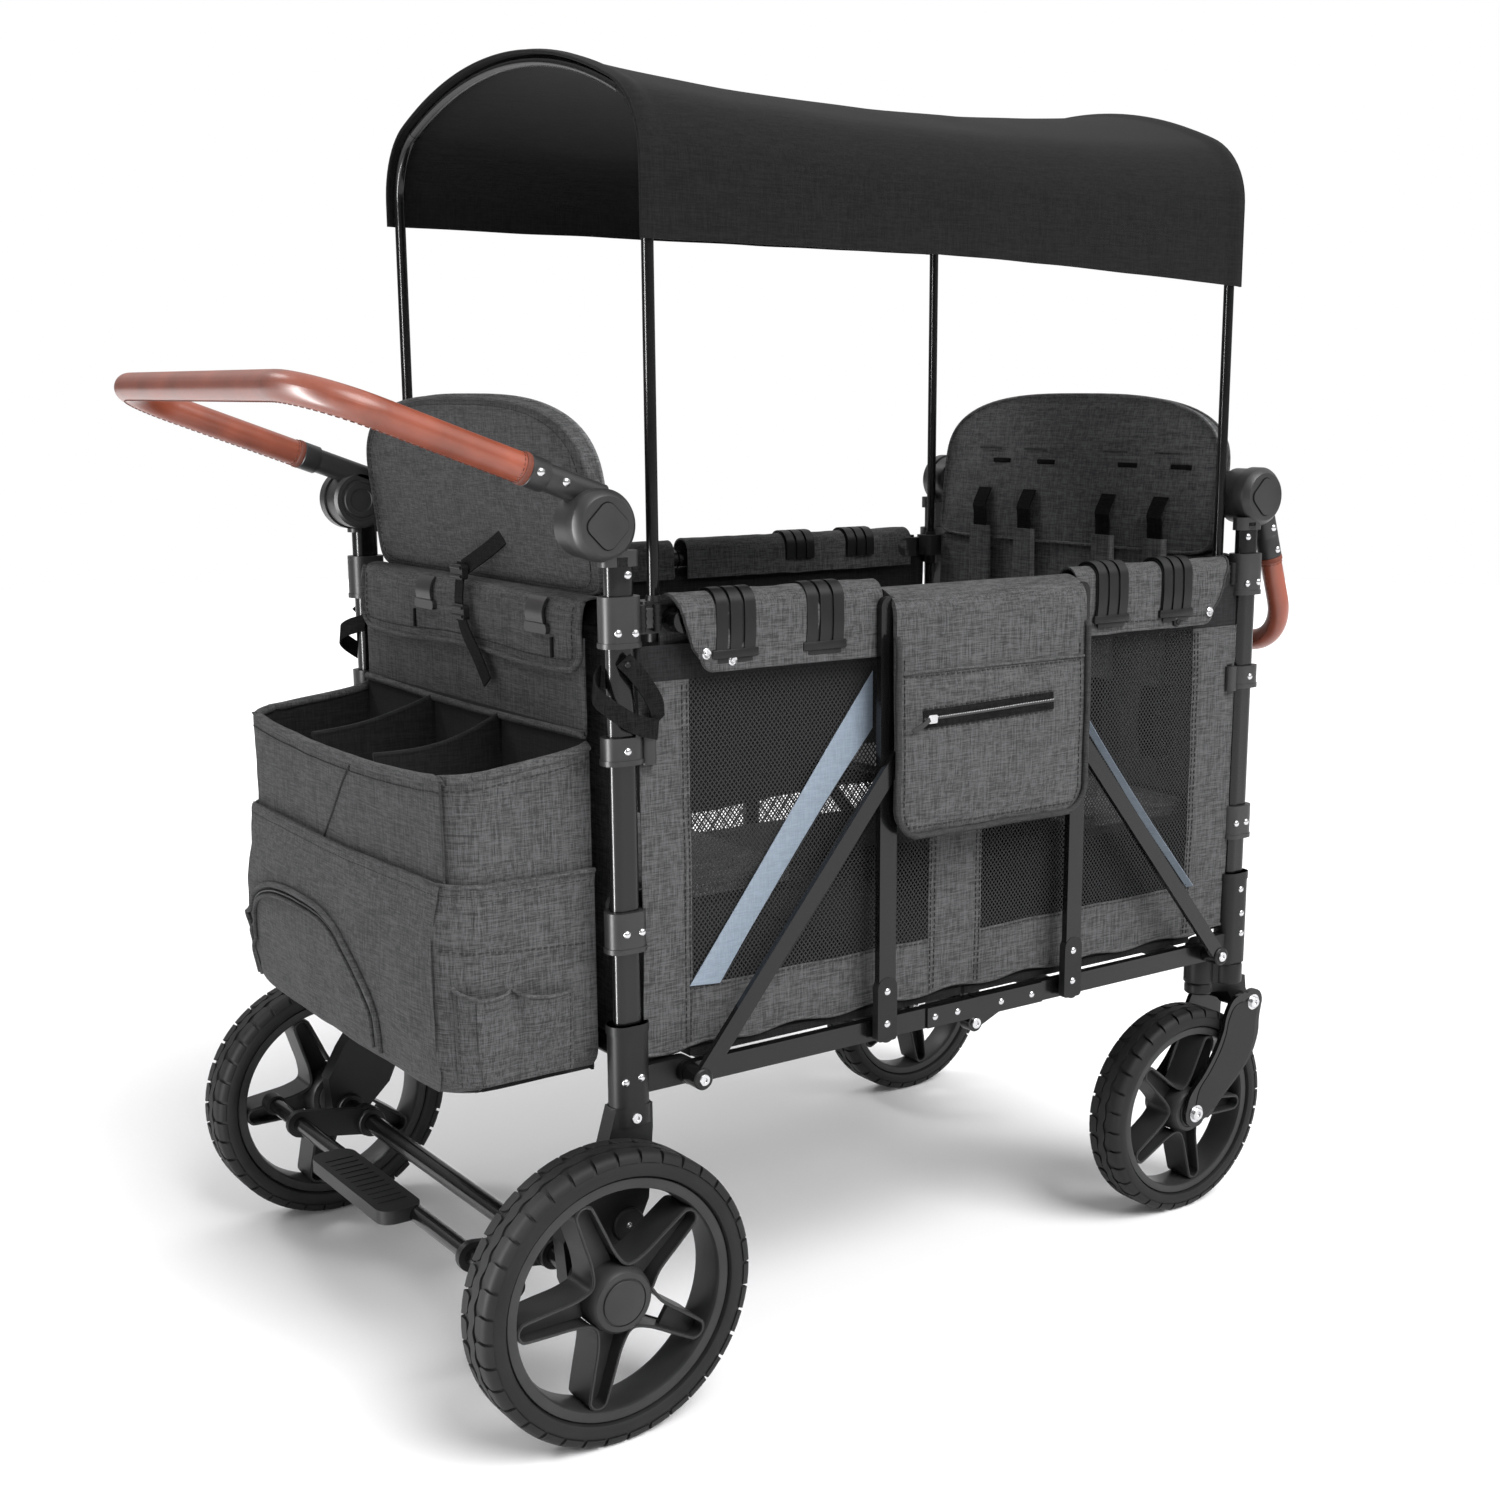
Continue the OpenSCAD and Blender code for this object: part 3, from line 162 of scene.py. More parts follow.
class WagonStage(PropertyGroup):
    """Camera and light"""

    camera_x: length("Camera along", "Camera place along the wagon from the tub's middle", -1385.3)
    camera_y: length("Camera across", "Camera place across the wagon", -1924.1)
    camera_z: length("Camera height", "Camera height over the floor", 1012.3)
    turn: angle("Camera turn", "Turn of the view about the upright", -36.03)
    tilt: angle("Camera tilt", "How far the view looks down", 11.79)
    lens: FloatProperty(name="Lens", description="Focal length on a 36 mm wide sensor", default=47.43,
                        unit="CAMERA")
    shift_x: FloatProperty(name="Shift across", description="Sideways shift of the frame", default=-0.0455)
    shift_y: FloatProperty(name="Shift up", description="Upward shift of the frame", default=0.0365)
    sky: share("Sky", "Strength of the even light", 0.5)
    key: FloatProperty(name="Key light", description="Strength of the main lamp", default=3.3, min=0)
    rim_light: FloatProperty(name="Edge light", description="Strength of the lamp behind", default=0.6, min=0)
    strip: FloatProperty(name="Strip lamp", description="Power of the tall strip lamp", default=34)
    strip_x: length("Strip place", "Strip lamp from the tub's middle along the wagon", -1560)
    strip_y: length("Strip side", "Strip lamp from the wagon's middle plane", -240)
    strip_wide: length("Strip width", "Width of the strip lamp", 130)
    strip_high: length("Strip height", "Height of the strip lamp", 1300)
    floor_radius: length("Floor radius", "Radius of the round floor", 9000)
    floor_glow: share("Floor glow", "Share of the floor that stays white in the picture", 0.02)


# Shapes, each made in millimetres from the tub's middle
def scaled(size):
    """A matrix that scales each way by its own share."""
    return Matrix.Diagonal((*size, 1))


def block(x, y, z, edge=1.5, segments=2):
    """A box between two places each way, with its edges rounded."""
    bm = bmesh.new()
    bmesh.ops.create_cube(bm, size=1)
    bm.transform(scaled((x[1] - x[0], y[1] - y[0], z[1] - z[0])))
    bm.transform(Matrix.Translation(((x[0] + x[1]) / 2, (y[0] + y[1]) / 2, (z[0] + z[1]) / 2)))
    round_edges(bm, bm.edges, edge, segments)
    return bm


def round_edges(bm, edges, offset, segments=2):
    """Rounds some edges of a shape."""
    if offset > 0:
        bmesh.ops.bevel(bm, geom=list(edges), offset=offset, offset_type="OFFSET", segments=segments,
                        profile=0.5, affect="EDGES", material=-1, clamp_overlap=True)


def bar(x, y, z, corner, edge=1.2, axis=2, segments=6):
    """A box whose long edges along one axis are rounded far and whose ends are rounded a little."""
    bm = block(x, y, z, 0)
    long = [e for e in bm.edges if abs((e.verts[0].co - e.verts[1].co).normalized()[axis]) > 0.9]
    round_edges(bm, long, corner, segments)
    round_rims(bm, axis, edge)
    return bm


def round_rims(bm, axis, edge, segments=2):
    """Rounds the edges round the two flat ends of a shape along one axis."""
    low = min(v.co[axis] for v in bm.verts)
    high = max(v.co[axis] for v in bm.verts)
    ends = [f for f in bm.faces if all(min(v.co[axis] - low, high - v.co[axis]) < 1e-3 for v in f.verts)]
    rims = {e for f in ends for e in f.edges if sum(g in ends for g in e.link_faces) == 1}
    round_edges(bm, rims, edge, segments)


def facing(direction):
    """A turn that takes the Z axis to a direction."""
    return Z_AXIS.rotation_difference(Vector(direction)).to_matrix().to_4x4()


def rod(start, end, radius, sides=24, edge=0, end_radius=None):
    """A round bar from one place to another, with rounded rims if an edge is given."""
    start, end = Vector(start), Vector(end)
    bm = bmesh.new()
    bmesh.ops.create_cone(bm, cap_ends=True, cap_tris=False, segments=sides, radius1=radius,
                          radius2=radius if end_radius is None else end_radius, depth=(end - start).length)
    if edge:
        round_rims(bm, 2, edge)
    bm.transform(Matrix.Translation((start + end) / 2) @ facing(end - start))
    return bm


def turned(profile, centre, direction=(0, 0, 1), steps=48):
    """A shape turned on a lathe from pairs of radius and height along a direction."""
    bm = bmesh.new()
    line = [bm.verts.new((radius, 0, height)) for radius, height in profile]
    edges = [bm.edges.new(pair) for pair in zip(line, line[1:])]
    bmesh.ops.spin(bm, geom=line + edges, cent=(0, 0, 0), axis=Z_AXIS, angle=math.tau, steps=steps,
                   use_merge=True)
    bmesh.ops.remove_doubles(bm, verts=bm.verts, dist=1e-4)
    bmesh.ops.recalc_face_normals(bm, faces=bm.faces)
    bm.transform(Matrix.Translation(Vector(centre)) @ facing(direction))
    return bm


def plate(outline, low, high, axis=1, edge=1.0, segments=2):
    """A flat outline given as pairs, pushed out along one axis between two places."""
    bm = bmesh.new()
    face = bm.faces.new([bm.verts.new((*pair[:axis], low, *pair[axis:])) for pair in outline])
    push = (X_AXIS, Y_AXIS, Z_AXIS)[axis] * (high - low)
    made = bmesh.ops.extrude_face_region(bm, geom=[face])
    bmesh.ops.translate(bm, verts=[g for g in made["geom"] if isinstance(g, bmesh.types.BMVert)], vec=push)
    bmesh.ops.recalc_face_normals(bm, faces=bm.faces)
    round_rims(bm, axis, edge, segments)
    return bm


def link(start, end, width, steps=10):
    """The outline of a flat bar with round ends between two pairs."""
    direction = math.atan2(end[1] - start[1], end[0] - start[0])
    outline = []
    for middle, lead in ((end, -math.pi / 2), (start, math.pi / 2)):
        for i in range(steps + 1):
            turn = direction + lead + math.pi * i / steps
            outline.append((middle[0] + width / 2 * math.cos(turn), middle[1] + width / 2 * math.sin(turn)))
    return outline


def arc(centre, radius, start, end, steps):
    """Pairs along part of a circle, with the angles in degrees."""
    turns = [math.radians(start + (end - start) * i / steps) for i in range(steps + 1)]
    return [(centre[0] + radius * math.cos(t), centre[1] + radius * math.sin(t)) for t in turns]


def rounded_outline(a, b, corners, steps=6):
    """A rectangle of pairs with its own radius at each corner, from the low corner round."""
    spots = ((a[0], b[0], 1, 1, 180), (a[1], b[0], -1, 1, 270), (a[1], b[1], -1, -1, 0),
             (a[0], b[1], 1, -1, 90))
    outline = []
    for (u, v, side_u, side_v, start), radius in zip(spots, corners):
        centre = (u + side_u * radius, v + side_v * radius)
        outline += arc(centre, radius, start, start + 90, steps if radius > 0.5 else 0)
    return outline


def along(points):
    """A smooth way through some places, as a function of a share of its length."""
    spots = [Vector(p) for p in points]
    steps = [0.0]
    for a, b in zip(spots, spots[1:]):
        steps.append(steps[-1] + (b - a).length)

    def place(share_done):
        reach = min(max(share_done, 0), 1) * steps[-1]
        i = max(k for k in range(len(spots) - 1) if steps[k] <= reach + 1e-9)
        t = (reach - steps[i]) / max(steps[i + 1] - steps[i], 1e-9)
        a, b = spots[i], spots[i + 1]
        before = spots[i - 1] if i else a - (b - a)
        after = spots[i + 2] if i + 2 < len(spots) else b + (b - a)
        near, far = (b - before) / 2, (after - a) / 2
        return ((2 * t**3 - 3 * t**2 + 1) * a + (t**3 - 2 * t**2 + t) * near
                + (-2 * t**3 + 3 * t**2) * b + (t**3 - t**2) * far)

    return place


def tube(points, radius, sides=10, closed=False):
    """A round tube along some places."""
    curve = bpy.data.curves.new("tube", "CURVE")
    curve.dimensions = "3D"
    curve.bevel_depth = radius
    curve.bevel_resolution = max(sides // 2 - 2, 0)
    curve.use_fill_caps = not closed
    spline = curve.splines.new("POLY")
    spline.points.add(len(points) - 1)
    for spot, place in zip(spline.points, points):
        spot.co = (*place, 1)
    spline.use_cyclic_u = closed
    holder = bpy.data.objects.new("tube", curve)
    mesh = bpy.data.meshes.new_from_object(holder)
    bm = bmesh.new()
    bm.from_mesh(mesh)
    bpy.data.objects.remove(holder)
    bpy.data.curves.remove(curve)
    bpy.data.meshes.remove(mesh)
    bmesh.ops.remove_doubles(bm, verts=bm.verts, dist=1e-3)
    bmesh.ops.recalc_face_normals(bm, faces=bm.faces)
    return bm


def cloth(steps_u, steps_v, place, thickness=0, closed=False):
    """A grid laid by a function of two shares, thickened if it is asked for."""
    bm = bmesh.new()
    bmesh.ops.create_grid(bm, x_segments=steps_u, y_segments=steps_v, size=0.5)
    for v in bm.verts:
        v.co = place(v.co.x + 0.5, v.co.y + 0.5)
    if closed:
        bmesh.ops.remove_doubles(bm, verts=bm.verts, dist=1e-3)
    if thickness:
        thicken(bm, thickness)
    return bm


def thicken(bm, thickness):
    """Gives an open sheet its thickness and points its faces outwards."""
    bm.normal_update()
    outward = {v.co.to_tuple(5): v.normal.copy() for v in bm.verts}
    made = bmesh.ops.extrude_face_region(bm, geom=bm.faces[:], use_keep_orig=True)
    for v in made["geom"]:
        if isinstance(v, bmesh.types.BMVert):
            v.co -= outward[v.co.to_tuple(5)] * thickness
    bmesh.ops.recalc_face_normals(bm, faces=bm.faces)


def strap(points, across, width, thickness=1.6, steps=40):
    """A flat strap along some places; across is the direction of its width."""
    way = along(points)
    side = Vector(across).normalized()
    return cloth(steps, 2, lambda u, v: way(u) + side * width * (v - 0.5), thickness)


def flipped(bm):
    """A copy of a shape on the other side of the wagon."""
    other = bm.copy()
    other.transform(scaled((1, -1, 1)))
    bmesh.ops.reverse_faces(other, faces=other.faces)
    return other


def trail(steps, place):
    """The places that a function gives at even shares from nought to one."""
    return [place(i / steps) for i in range(steps + 1)]


def ripple(place, size, height):
    """A smooth unevenness of cloth at a place."""
    return height * noise.noise(Vector(place) / size)


class Piece:
    """One object of the wagon, gathered from shapes with their finishes."""

    def __init__(self, name):
        self.name = name
        self.bm = bmesh.new()
        self.finishes = []

    def add(self, shape, finish, both=False):
        """Takes in a shape with its finish, and its copy on the other side if both are wanted."""
        if finish not in self.finishes:
            self.finishes.append(finish)
        shapes = [shape, flipped(shape)] if both else [shape]
        for part in shapes:
            for face in part.faces:
                face.material_index = self.finishes.index(finish)
            mesh = bpy.data.meshes.new("part")
            part.to_mesh(mesh)
            part.free()
            self.bm.from_mesh(mesh)
            bpy.data.meshes.remove(mesh)

    def sew(self, points):
        """Takes in a row of stitches along some places."""
        self.add(stitches(points), "binding")

    def place(self, body, slot, nodes=(), sharp=32):
        """Makes the object in the row frame, smooths it and lets it ride on its body."""
        self.bm.transform(TO_ROW)
        mesh = bpy.data.meshes.new(self.name)
        self.bm.to_mesh(mesh)
        self.bm.free()
        for finish in self.finishes:
            mesh.materials.append(bpy.data.materials[finish])
        mesh.shade_smooth()
        mesh.set_sharp_from_angle(angle=math.radians(sharp))
        obj = bpy.data.objects.new(self.name, mesh)
        bpy.context.scene.collection.objects.link(obj)
        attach(obj, body)
        if nodes:
            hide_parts(*nodes)
        return obj


def in_row(x, y, z):
    """A place in the row frame from millimetres about the tub's middle."""
    return TO_ROW @ Vector((x, y, z))


def rivet(x, y, z, radius, height, direction=Y_AXIS):
    """A domed rivet head that stands on a face."""
    dome = [(0, height), (radius * 0.5, height * 0.86), (radius * 0.85, height * 0.45), (radius, 0),
            (radius, -1), (0, -1)]
    return turned(dome, (x, y, z), direction, 16)


def bolt(x, y, z, radius, height, direction=Y_AXIS):
    """A round bolt head with a hexagon recess."""
    bm = turned([(0, -1), (radius, -1), (radius, height * 0.7), (radius * 0.9, height), (0, height)],
                (0, 0, 0), Z_AXIS, 24)
    top = [f for f in bm.faces if f.calc_center_median().z > height * 0.95]
    bmesh.ops.dissolve_faces(bm, faces=top)
    cap = max(bm.faces, key=lambda f: f.calc_center_median().z)
    bmesh.ops.inset_region(bm, faces=[cap], thickness=radius * 0.45)
    bmesh.ops.inset_region(bm, faces=[cap], thickness=radius * 0.04, depth=-height * 0.6)
    bm.transform(Matrix.Translation((x, y, z)) @ facing(direction))
    return bm


def stitches(points, long=4.2, gap=2.6, wide=0.9):
    """A row of short threads along some places."""
    way = along(points)
    total = sum((Vector(b) - Vector(a)).length for a, b in zip(points, points[1:]))
    number = max(int(total / (long + gap)), 1)
    row = bmesh.new()
    for i in range(number):
        start = way((i + 0.2) / number)
        end = way((i + 0.2 + long / (long + gap)) / number)
        turn = X_AXIS.rotation_difference(end - start).to_matrix().to_4x4()
        spot = Matrix.Translation((start + end) / 2) @ turn @ scaled(((end - start).length, wide, wide))
        bmesh.ops.create_cube(row, size=1, matrix=spot)
    return row


# Finishes: shared effects are node groups, and each finish sets its own values
def effect(name, inputs):
    """A new node group: its wiring, its number inputs, its tone and height, and the object's own places."""
    group = bpy.data.node_groups.new(name, "ShaderNodeTree")
    for label, value in inputs.items():
        socket = group.interface.new_socket(label, in_out="INPUT", socket_type="NodeSocketFloat")
        socket.default_value = value
    for label in ("Tone", "Height"):
        group.interface.new_socket(label, in_out="OUTPUT", socket_type="NodeSocketFloat")
    w = Wiring(group)
    given = group.nodes.new("NodeGroupInput").outputs
    target = group.nodes.new("NodeGroupOutput").inputs
    return w, given, target, w.node("TexCoord").outputs["Object"]


class Wiring:
    """Short ways to place and join nodes."""

    def __init__(self, tree):
        self.tree = tree

    def node(self, kind, **settings):
        made = self.tree.nodes.new("ShaderNode" + kind)
        for key, value in settings.items():
            setattr(made, key, value)
        return made

    def join(self, source, target):
        self.tree.links.new(source, target)

    def math(self, operation, first, second=0.5, third=0.0, clamp=False):
        made = self.node("Math", operation=operation, use_clamp=clamp)
        for socket, value in zip(made.inputs, (first, second, third)):
            if isinstance(value, (int, float)):
                socket.default_value = value
            else:
                self.join(value, socket)
        return made.outputs[0]

    def stretched_noise(self, coords, stretch, scale, detail=2.0):
        """Noise that is drawn out along an axis; scale may be a socket."""
        mapping = self.node("Mapping")
        mapping.inputs["Scale"].default_value = stretch
        self.join(coords, mapping.inputs["Vector"])
        made = self.node("TexNoise")
        made.inputs["Detail"].default_value = detail
        self.join(mapping.outputs[0], made.inputs["Vector"])
        if isinstance(scale, (int, float)):
            made.inputs["Scale"].default_value = scale
        else:
            self.join(scale, made.inputs["Scale"])
        return made.outputs[0]


def woven_effect():
    """Crossing threads, some lighter than others."""
    w, given, target, coords = effect("Woven threads", {"Scale": 900.0})

    def crossed(*stretches):
        """Threads that run up and threads that run across, mixed evenly."""
        noises = [w.stretched_noise(coords, stretch, given["Scale"]) for stretch in stretches]
        return w.math("ADD", *[w.math("MULTIPLY", threads, 0.5) for threads in noises])

    threads = crossed((1, 1, 0.07), (0.08, 0.08, 1))
    slubs = crossed((0.4, 0.4, 0.02), (0.02, 0.02, 0.4))
    mixed = w.math("ADD", w.math("MULTIPLY", threads, 0.6), w.math("MULTIPLY", slubs, 0.4))
    tone = w.math("MULTIPLY_ADD", mixed, 2.6, -0.8, clamp=True)
    w.join(tone, target["Tone"])
    w.join(threads, target["Height"])


def grain_effect():
    """Fine grain of moulded plastic, powder coat or rubber, with broad uneven patches."""
    w, given, target, coords = effect("Fine grain", {"Scale": 1800.0, "Patch": 18.0})
    w.join(w.stretched_noise(coords, (1, 1, 1), given["Patch"], 4.0), target["Tone"])
    w.join(w.stretched_noise(coords, (1, 1, 1), given["Scale"], 1.0), target["Height"])


def leather_effect():
    """Small pebbles with creases between them and cloudy colour."""
    w, given, target, coords = effect("Leather pebbles", {"Scale": 520.0})
    pebbles = w.node("TexVoronoi", feature="DISTANCE_TO_EDGE")
    w.join(coords, pebbles.inputs["Vector"])
    w.join(given["Scale"], pebbles.inputs["Scale"])
    w.join(w.stretched_noise(coords, (1, 1, 1), 26.0, 5.0), target["Tone"])
    w.join(w.math("MINIMUM", pebbles.outputs[0], 0.25), target["Height"])


def net_effect():
    """Threads of a net that cross on the slant; the tone is the thread's mask."""
    w, given, target, coords = effect("Net threads", {"Pitch": 0.0052, "Thread": 0.47})
    parts = w.node("SeparateXYZ")
    w.join(coords, parts.inputs[0])
    waves = []
    for operation in ("ADD", "SUBTRACT"):
        slant = w.math(operation, parts.outputs["X"], w.math("MULTIPLY", parts.outputs["Z"], 0.8))
        turns = w.math("MULTIPLY", w.math("DIVIDE", slant, given["Pitch"]), math.pi)
        waves.append(w.math("ABSOLUTE", w.math("SINE", turns)))
    nearest = w.math("MINIMUM", waves[0], waves[1])
    w.join(w.math("LESS_THAN", nearest, given["Thread"]), target["Tone"])
    w.join(w.math("SUBTRACT", 1.0, nearest), target["Height"])


def finish(name, colour, effect_name, values, spread=0.35, rough=0.6, rough_spread=0.15, bump=0.3,
           depth=0.0004, **sockets):
    """A material: its colour varies with an effect's tone, its surface with the height."""
    made = bpy.data.materials.new(name)
    made.use_nodes = True
    made.diffuse_color = (*colour, 1)
    w = Wiring(made.node_tree)
    shader = made.node_tree.nodes["Principled BSDF"]
    source = w.node("Group")
    source.node_tree = bpy.data.node_groups[effect_name]
    for label, value in values.items():
        source.inputs[label].default_value = value
    ramp = w.node("ValToRGB")
    ramp.color_ramp.elements[0].position = 0.3
    ramp.color_ramp.elements[1].position = 0.7
    ramp.color_ramp.elements[0].color = (*[c * (1 - spread) for c in colour], 1)
    ramp.color_ramp.elements[1].color = (*[min(c * (1 + spread), 1) for c in colour], 1)
    w.join(source.outputs["Tone"], ramp.inputs[0])
    w.join(ramp.outputs[0], shader.inputs["Base Color"])
    uneven = w.node("MapRange")
    uneven.inputs["To Min"].default_value = rough - rough_spread / 2
    uneven.inputs["To Max"].default_value = rough + rough_spread / 2
    w.join(source.outputs["Tone"], uneven.inputs["Value"])
    w.join(uneven.outputs[0], shader.inputs["Roughness"])
    relief = w.node("Bump")
    relief.inputs["Strength"].default_value = bump
    relief.inputs["Distance"].default_value = depth
    w.join(source.outputs["Height"], relief.inputs["Height"])
    w.join(relief.outputs[0], shader.inputs["Normal"])
    for label, value in sockets.items():
        shader.inputs[label.replace("_", " ")].default_value = value
    return w, shader, source


def make_finishes(c):
    """Every finish of the wagon."""
    for make in (woven_effect, grain_effect, leather_effect, net_effect):
        make()
    dull = {"Specular_IOR_Level": 0.05}
    satin = {"Specular_IOR_Level": 0.3}
    finish("heather_cloth", c.charcoal, "Woven threads", {"Scale": 1150.0}, 0.46, 0.88, 0.1, 0.6,
           Sheen_Weight=0.08, **dull)
    finish("lining_cloth", c.lining, "Woven threads", {"Scale": 1000.0}, 0.3, 0.8, 0.1, 0.5,
           Sheen_Weight=0.08, **dull)
    # Painted light: a lightened copy of the charcoal cloth for the faces that lie in the canopy's shade
    finish("seat_cloth", c.seat, "Woven threads", {"Scale": 900.0}, 0.4, 0.84, 0.1, 0.5, Sheen_Weight=0.08,
           **dull)
    finish("canopy_cloth", c.canopy, "Woven threads", {"Scale": 1300.0}, 0.3, 0.7, 0.1, 0.35,
           Sheen_Weight=0.05, **dull)
    finish("webbing", c.webbing, "Woven threads", {"Scale": 1500.0}, 0.5, 0.75, 0.1, 0.8, **dull)
    finish("binding", [v * 0.6 for v in c.charcoal], "Woven threads", {"Scale": 1500.0}, 0.3, 0.8, 0.1, 0.7,
           **dull)
    finish("ribbon", c.ribbon, "Woven threads", {"Scale": 1500.0}, 0.14, 0.42, 0.1, 0.25, Sheen_Weight=0.3)
    finish("frame_gloss", c.frame, "Fine grain", {"Scale": 2600.0}, 0.2, 0.24, 0.1, 0.05, 0.0002,
           Coat_Weight=0.2, **satin)
    finish("cast_alloy", c.casting, "Fine grain", {"Scale": 2200.0}, 0.25, 0.44, 0.14, 0.14, **satin)
    finish("moulding", c.fitting, "Fine grain", {"Scale": 2400.0}, 0.2, 0.4, 0.14, 0.14,
           Specular_IOR_Level=0.45)
    finish("leather", c.leather, "Leather pebbles", {"Scale": 520.0}, 0.24, 0.42, 0.14, 0.2, 0.0005,
           Coat_Weight=0.5, Coat_Roughness=0.28)
    finish("leather_thread", [v * 0.6 for v in c.leather], "Woven threads", {"Scale": 2500.0}, 0.2, 0.7, 0.1,
           0.4)
    finish("rubber", c.rubber, "Fine grain", {"Scale": 1500.0, "Patch": 30.0}, 0.25, 0.62, 0.12, 0.2, **satin)
    finish("rim_plastic", c.rim, "Fine grain", {"Scale": 2200.0}, 0.2, 0.4, 0.12, 0.12, **satin)
    finish("steel", c.steel, "Fine grain", {"Scale": 900.0, "Patch": 120.0}, 0.08, 0.24, 0.12, 0.05,
           Metallic=1.0)
    finish("zip_teeth", [v * 0.05 for v in c.steel], "Fine grain", {"Scale": 1500.0}, 0.2, 0.4, 0.1, 0.2,
           **satin)
    w, shader, source = finish("net", c.net, "Net threads", {}, 0.2, 0.7, 0.1, 0.6, **dull)
    w.join(source.outputs["Tone"], shader.inputs["Alpha"])


# The stage: floor, light and camera
def white_for_the_picture(w, shown, lit):
    """Mixes in a plain white where a ray comes from the picture or a clear piece."""
    path = w.node("LightPath")
    seen = w.math("MAXIMUM", path.outputs["Is Camera Ray"], path.outputs["Is Transmission Ray"])
    mix = w.node("MixShader")
    w.join(seen, mix.inputs[0])
    w.join(lit, mix.inputs[1])
    w.join(shown, mix.inputs[2])
    return mix.outputs[0]


def lay_floor(s, colour):
    bm = bmesh.new()
    bmesh.ops.create_circle(bm, cap_ends=True, segments=96, radius=s.floor_radius * MILLIMETRE)
    mesh = bpy.data.meshes.new("floor")
    bm.to_mesh(mesh)
    bm.free()
    made = bpy.data.materials.new("floor")
    made.use_nodes = True
    w = Wiring(made.node_tree)
    shader = made.node_tree.nodes["Principled BSDF"]
    shader.inputs["Roughness"].default_value = 0.9
    grain = w.node("TexNoise")
    grain.inputs["Scale"].default_value = 3
    ramp = w.node("ValToRGB")
    ramp.color_ramp.elements[0].color = (*[v * 0.99 for v in colour], 1)
    ramp.color_ramp.elements[1].color = (*colour, 1)
    w.join(grain.outputs[0], ramp.inputs[0])
    w.join(ramp.outputs[0], shader.inputs["Base Color"])
    glow = w.node("Emission")
    mix = w.node("MixShader")
    mix.inputs[0].default_value = s.floor_glow
    w.join(shader.outputs[0], mix.inputs[1])
    w.join(glow.outputs[0], mix.inputs[2])
    shown = white_for_the_picture(w, mix.outputs[0], shader.outputs[0])
    w.join(shown, made.node_tree.nodes["Material Output"].inputs["Surface"])
    mesh.materials.append(made)
    obj = bpy.data.objects.new("floor", mesh)
    bpy.context.scene.collection.objects.link(obj)


def hang_sky(context, s):
    world = bpy.data.worlds.new("sky")
    world.use_nodes = True
    context.scene.world = world
    w = Wiring(world.node_tree)
    lit = world.node_tree.nodes["Background"]
    parts = w.node("SeparateXYZ")
    w.join(w.node("TexCoord").outputs["Generated"], parts.inputs[0])
    overhead = w.math("MAXIMUM", parts.outputs["Z"], 0.0)
    above = w.math("MULTIPLY_ADD", overhead, s.sky * 1.5, s.sky * 0.4)
    forward = w.math("MULTIPLY_ADD", parts.outputs["X"], 0.5, 1.0)
    w.join(w.math("MULTIPLY", above, forward), lit.inputs["Strength"])
    lit.inputs["Color"].default_value = (1, 1, 1, 1)
    shown = w.node("Background")
    shown.inputs["Color"].default_value = (1, 1, 1, 1)
    shown.inputs["Strength"].default_value = 1
    out = white_for_the_picture(w, shown.outputs[0], lit.outputs[0])
    w.join(out, world.node_tree.nodes["World Output"].inputs["Surface"])


def add_lamp(name, strength, direction, spread):
    light = bpy.data.lights.new(name, "SUN")
    light.energy = strength
    light.angle = math.radians(spread)
    obj = bpy.data.objects.new(name, light)
    obj.rotation_euler = Vector(direction).to_track_quat("Z", "Y").to_euler()
    bpy.context.scene.collection.objects.link(obj)


def add_strip_lamp(s):
    """A tall narrow light beside the rear that shows only as a gleam on the tubes."""
    light = bpy.data.lights.new("strip_lamp", "AREA")
    light.shape = "RECTANGLE"
    light.size = s.strip_wide * MILLIMETRE
    light.size_y = s.strip_high * MILLIMETRE
    light.energy = s.strip
    obj = bpy.data.objects.new("strip_lamp", light)
    obj.location = in_row(s.strip_x, s.strip_y, s.strip_high / 2)
    obj.rotation_euler = (math.radians(90), 0, math.radians(-90))
    obj.visible_diffuse = False
    obj.visible_camera = False
    bpy.context.scene.collection.objects.link(obj)


def place_camera(context, s):
    camera = bpy.data.cameras.new("camera")
    camera.sensor_width = 36
    camera.lens = s.lens
    camera.shift_x = s.shift_x
    camera.shift_y = s.shift_y
    camera.clip_end = 60
    obj = bpy.data.objects.new("camera", camera)
    obj.location = in_row(s.camera_x, s.camera_y, s.camera_z)
    back = Vector((math.sin(s.turn) * math.cos(s.tilt), -math.cos(s.turn) * math.cos(s.tilt),
                   math.sin(s.tilt)))
    obj.rotation_euler = back.to_track_quat("Z", "Y").to_euler()
    context.scene.collection.objects.link(obj)
    context.scene.camera = obj


class WAGON_OT_stage(Operator):
    """Make the finishes, the floor, the light and the camera"""

    bl_idname = "wagon.stage"
    bl_label = "Stage"

    def execute(self, context):
        s = in_mm(context.scene.wagon_stage)
        colours = context.scene.wagon_colours
        make_finishes(SimpleNamespace(**{k: tuple(getattr(colours, k)) for k in colours.__annotations__}))
        lay_floor(s, tuple(colours.floor))
        hang_sky(context, s)
        add_lamp("key_lamp", s.key, (0.14, -0.68, 0.72), 40)
        add_lamp("edge_lamp", s.rim_light, (-0.35, 0.62, 0.7), 14)
        add_strip_lamp(s)
        place_camera(context, s)
        context.scene.view_settings.view_transform = "Standard"
        return {"FINISHED"}


def coat(nodes, name):
    for node in nodes:
        mesh = frame["nodes"][node].data
        mesh.materials.clear()
        mesh.materials.append(bpy.data.materials[name])


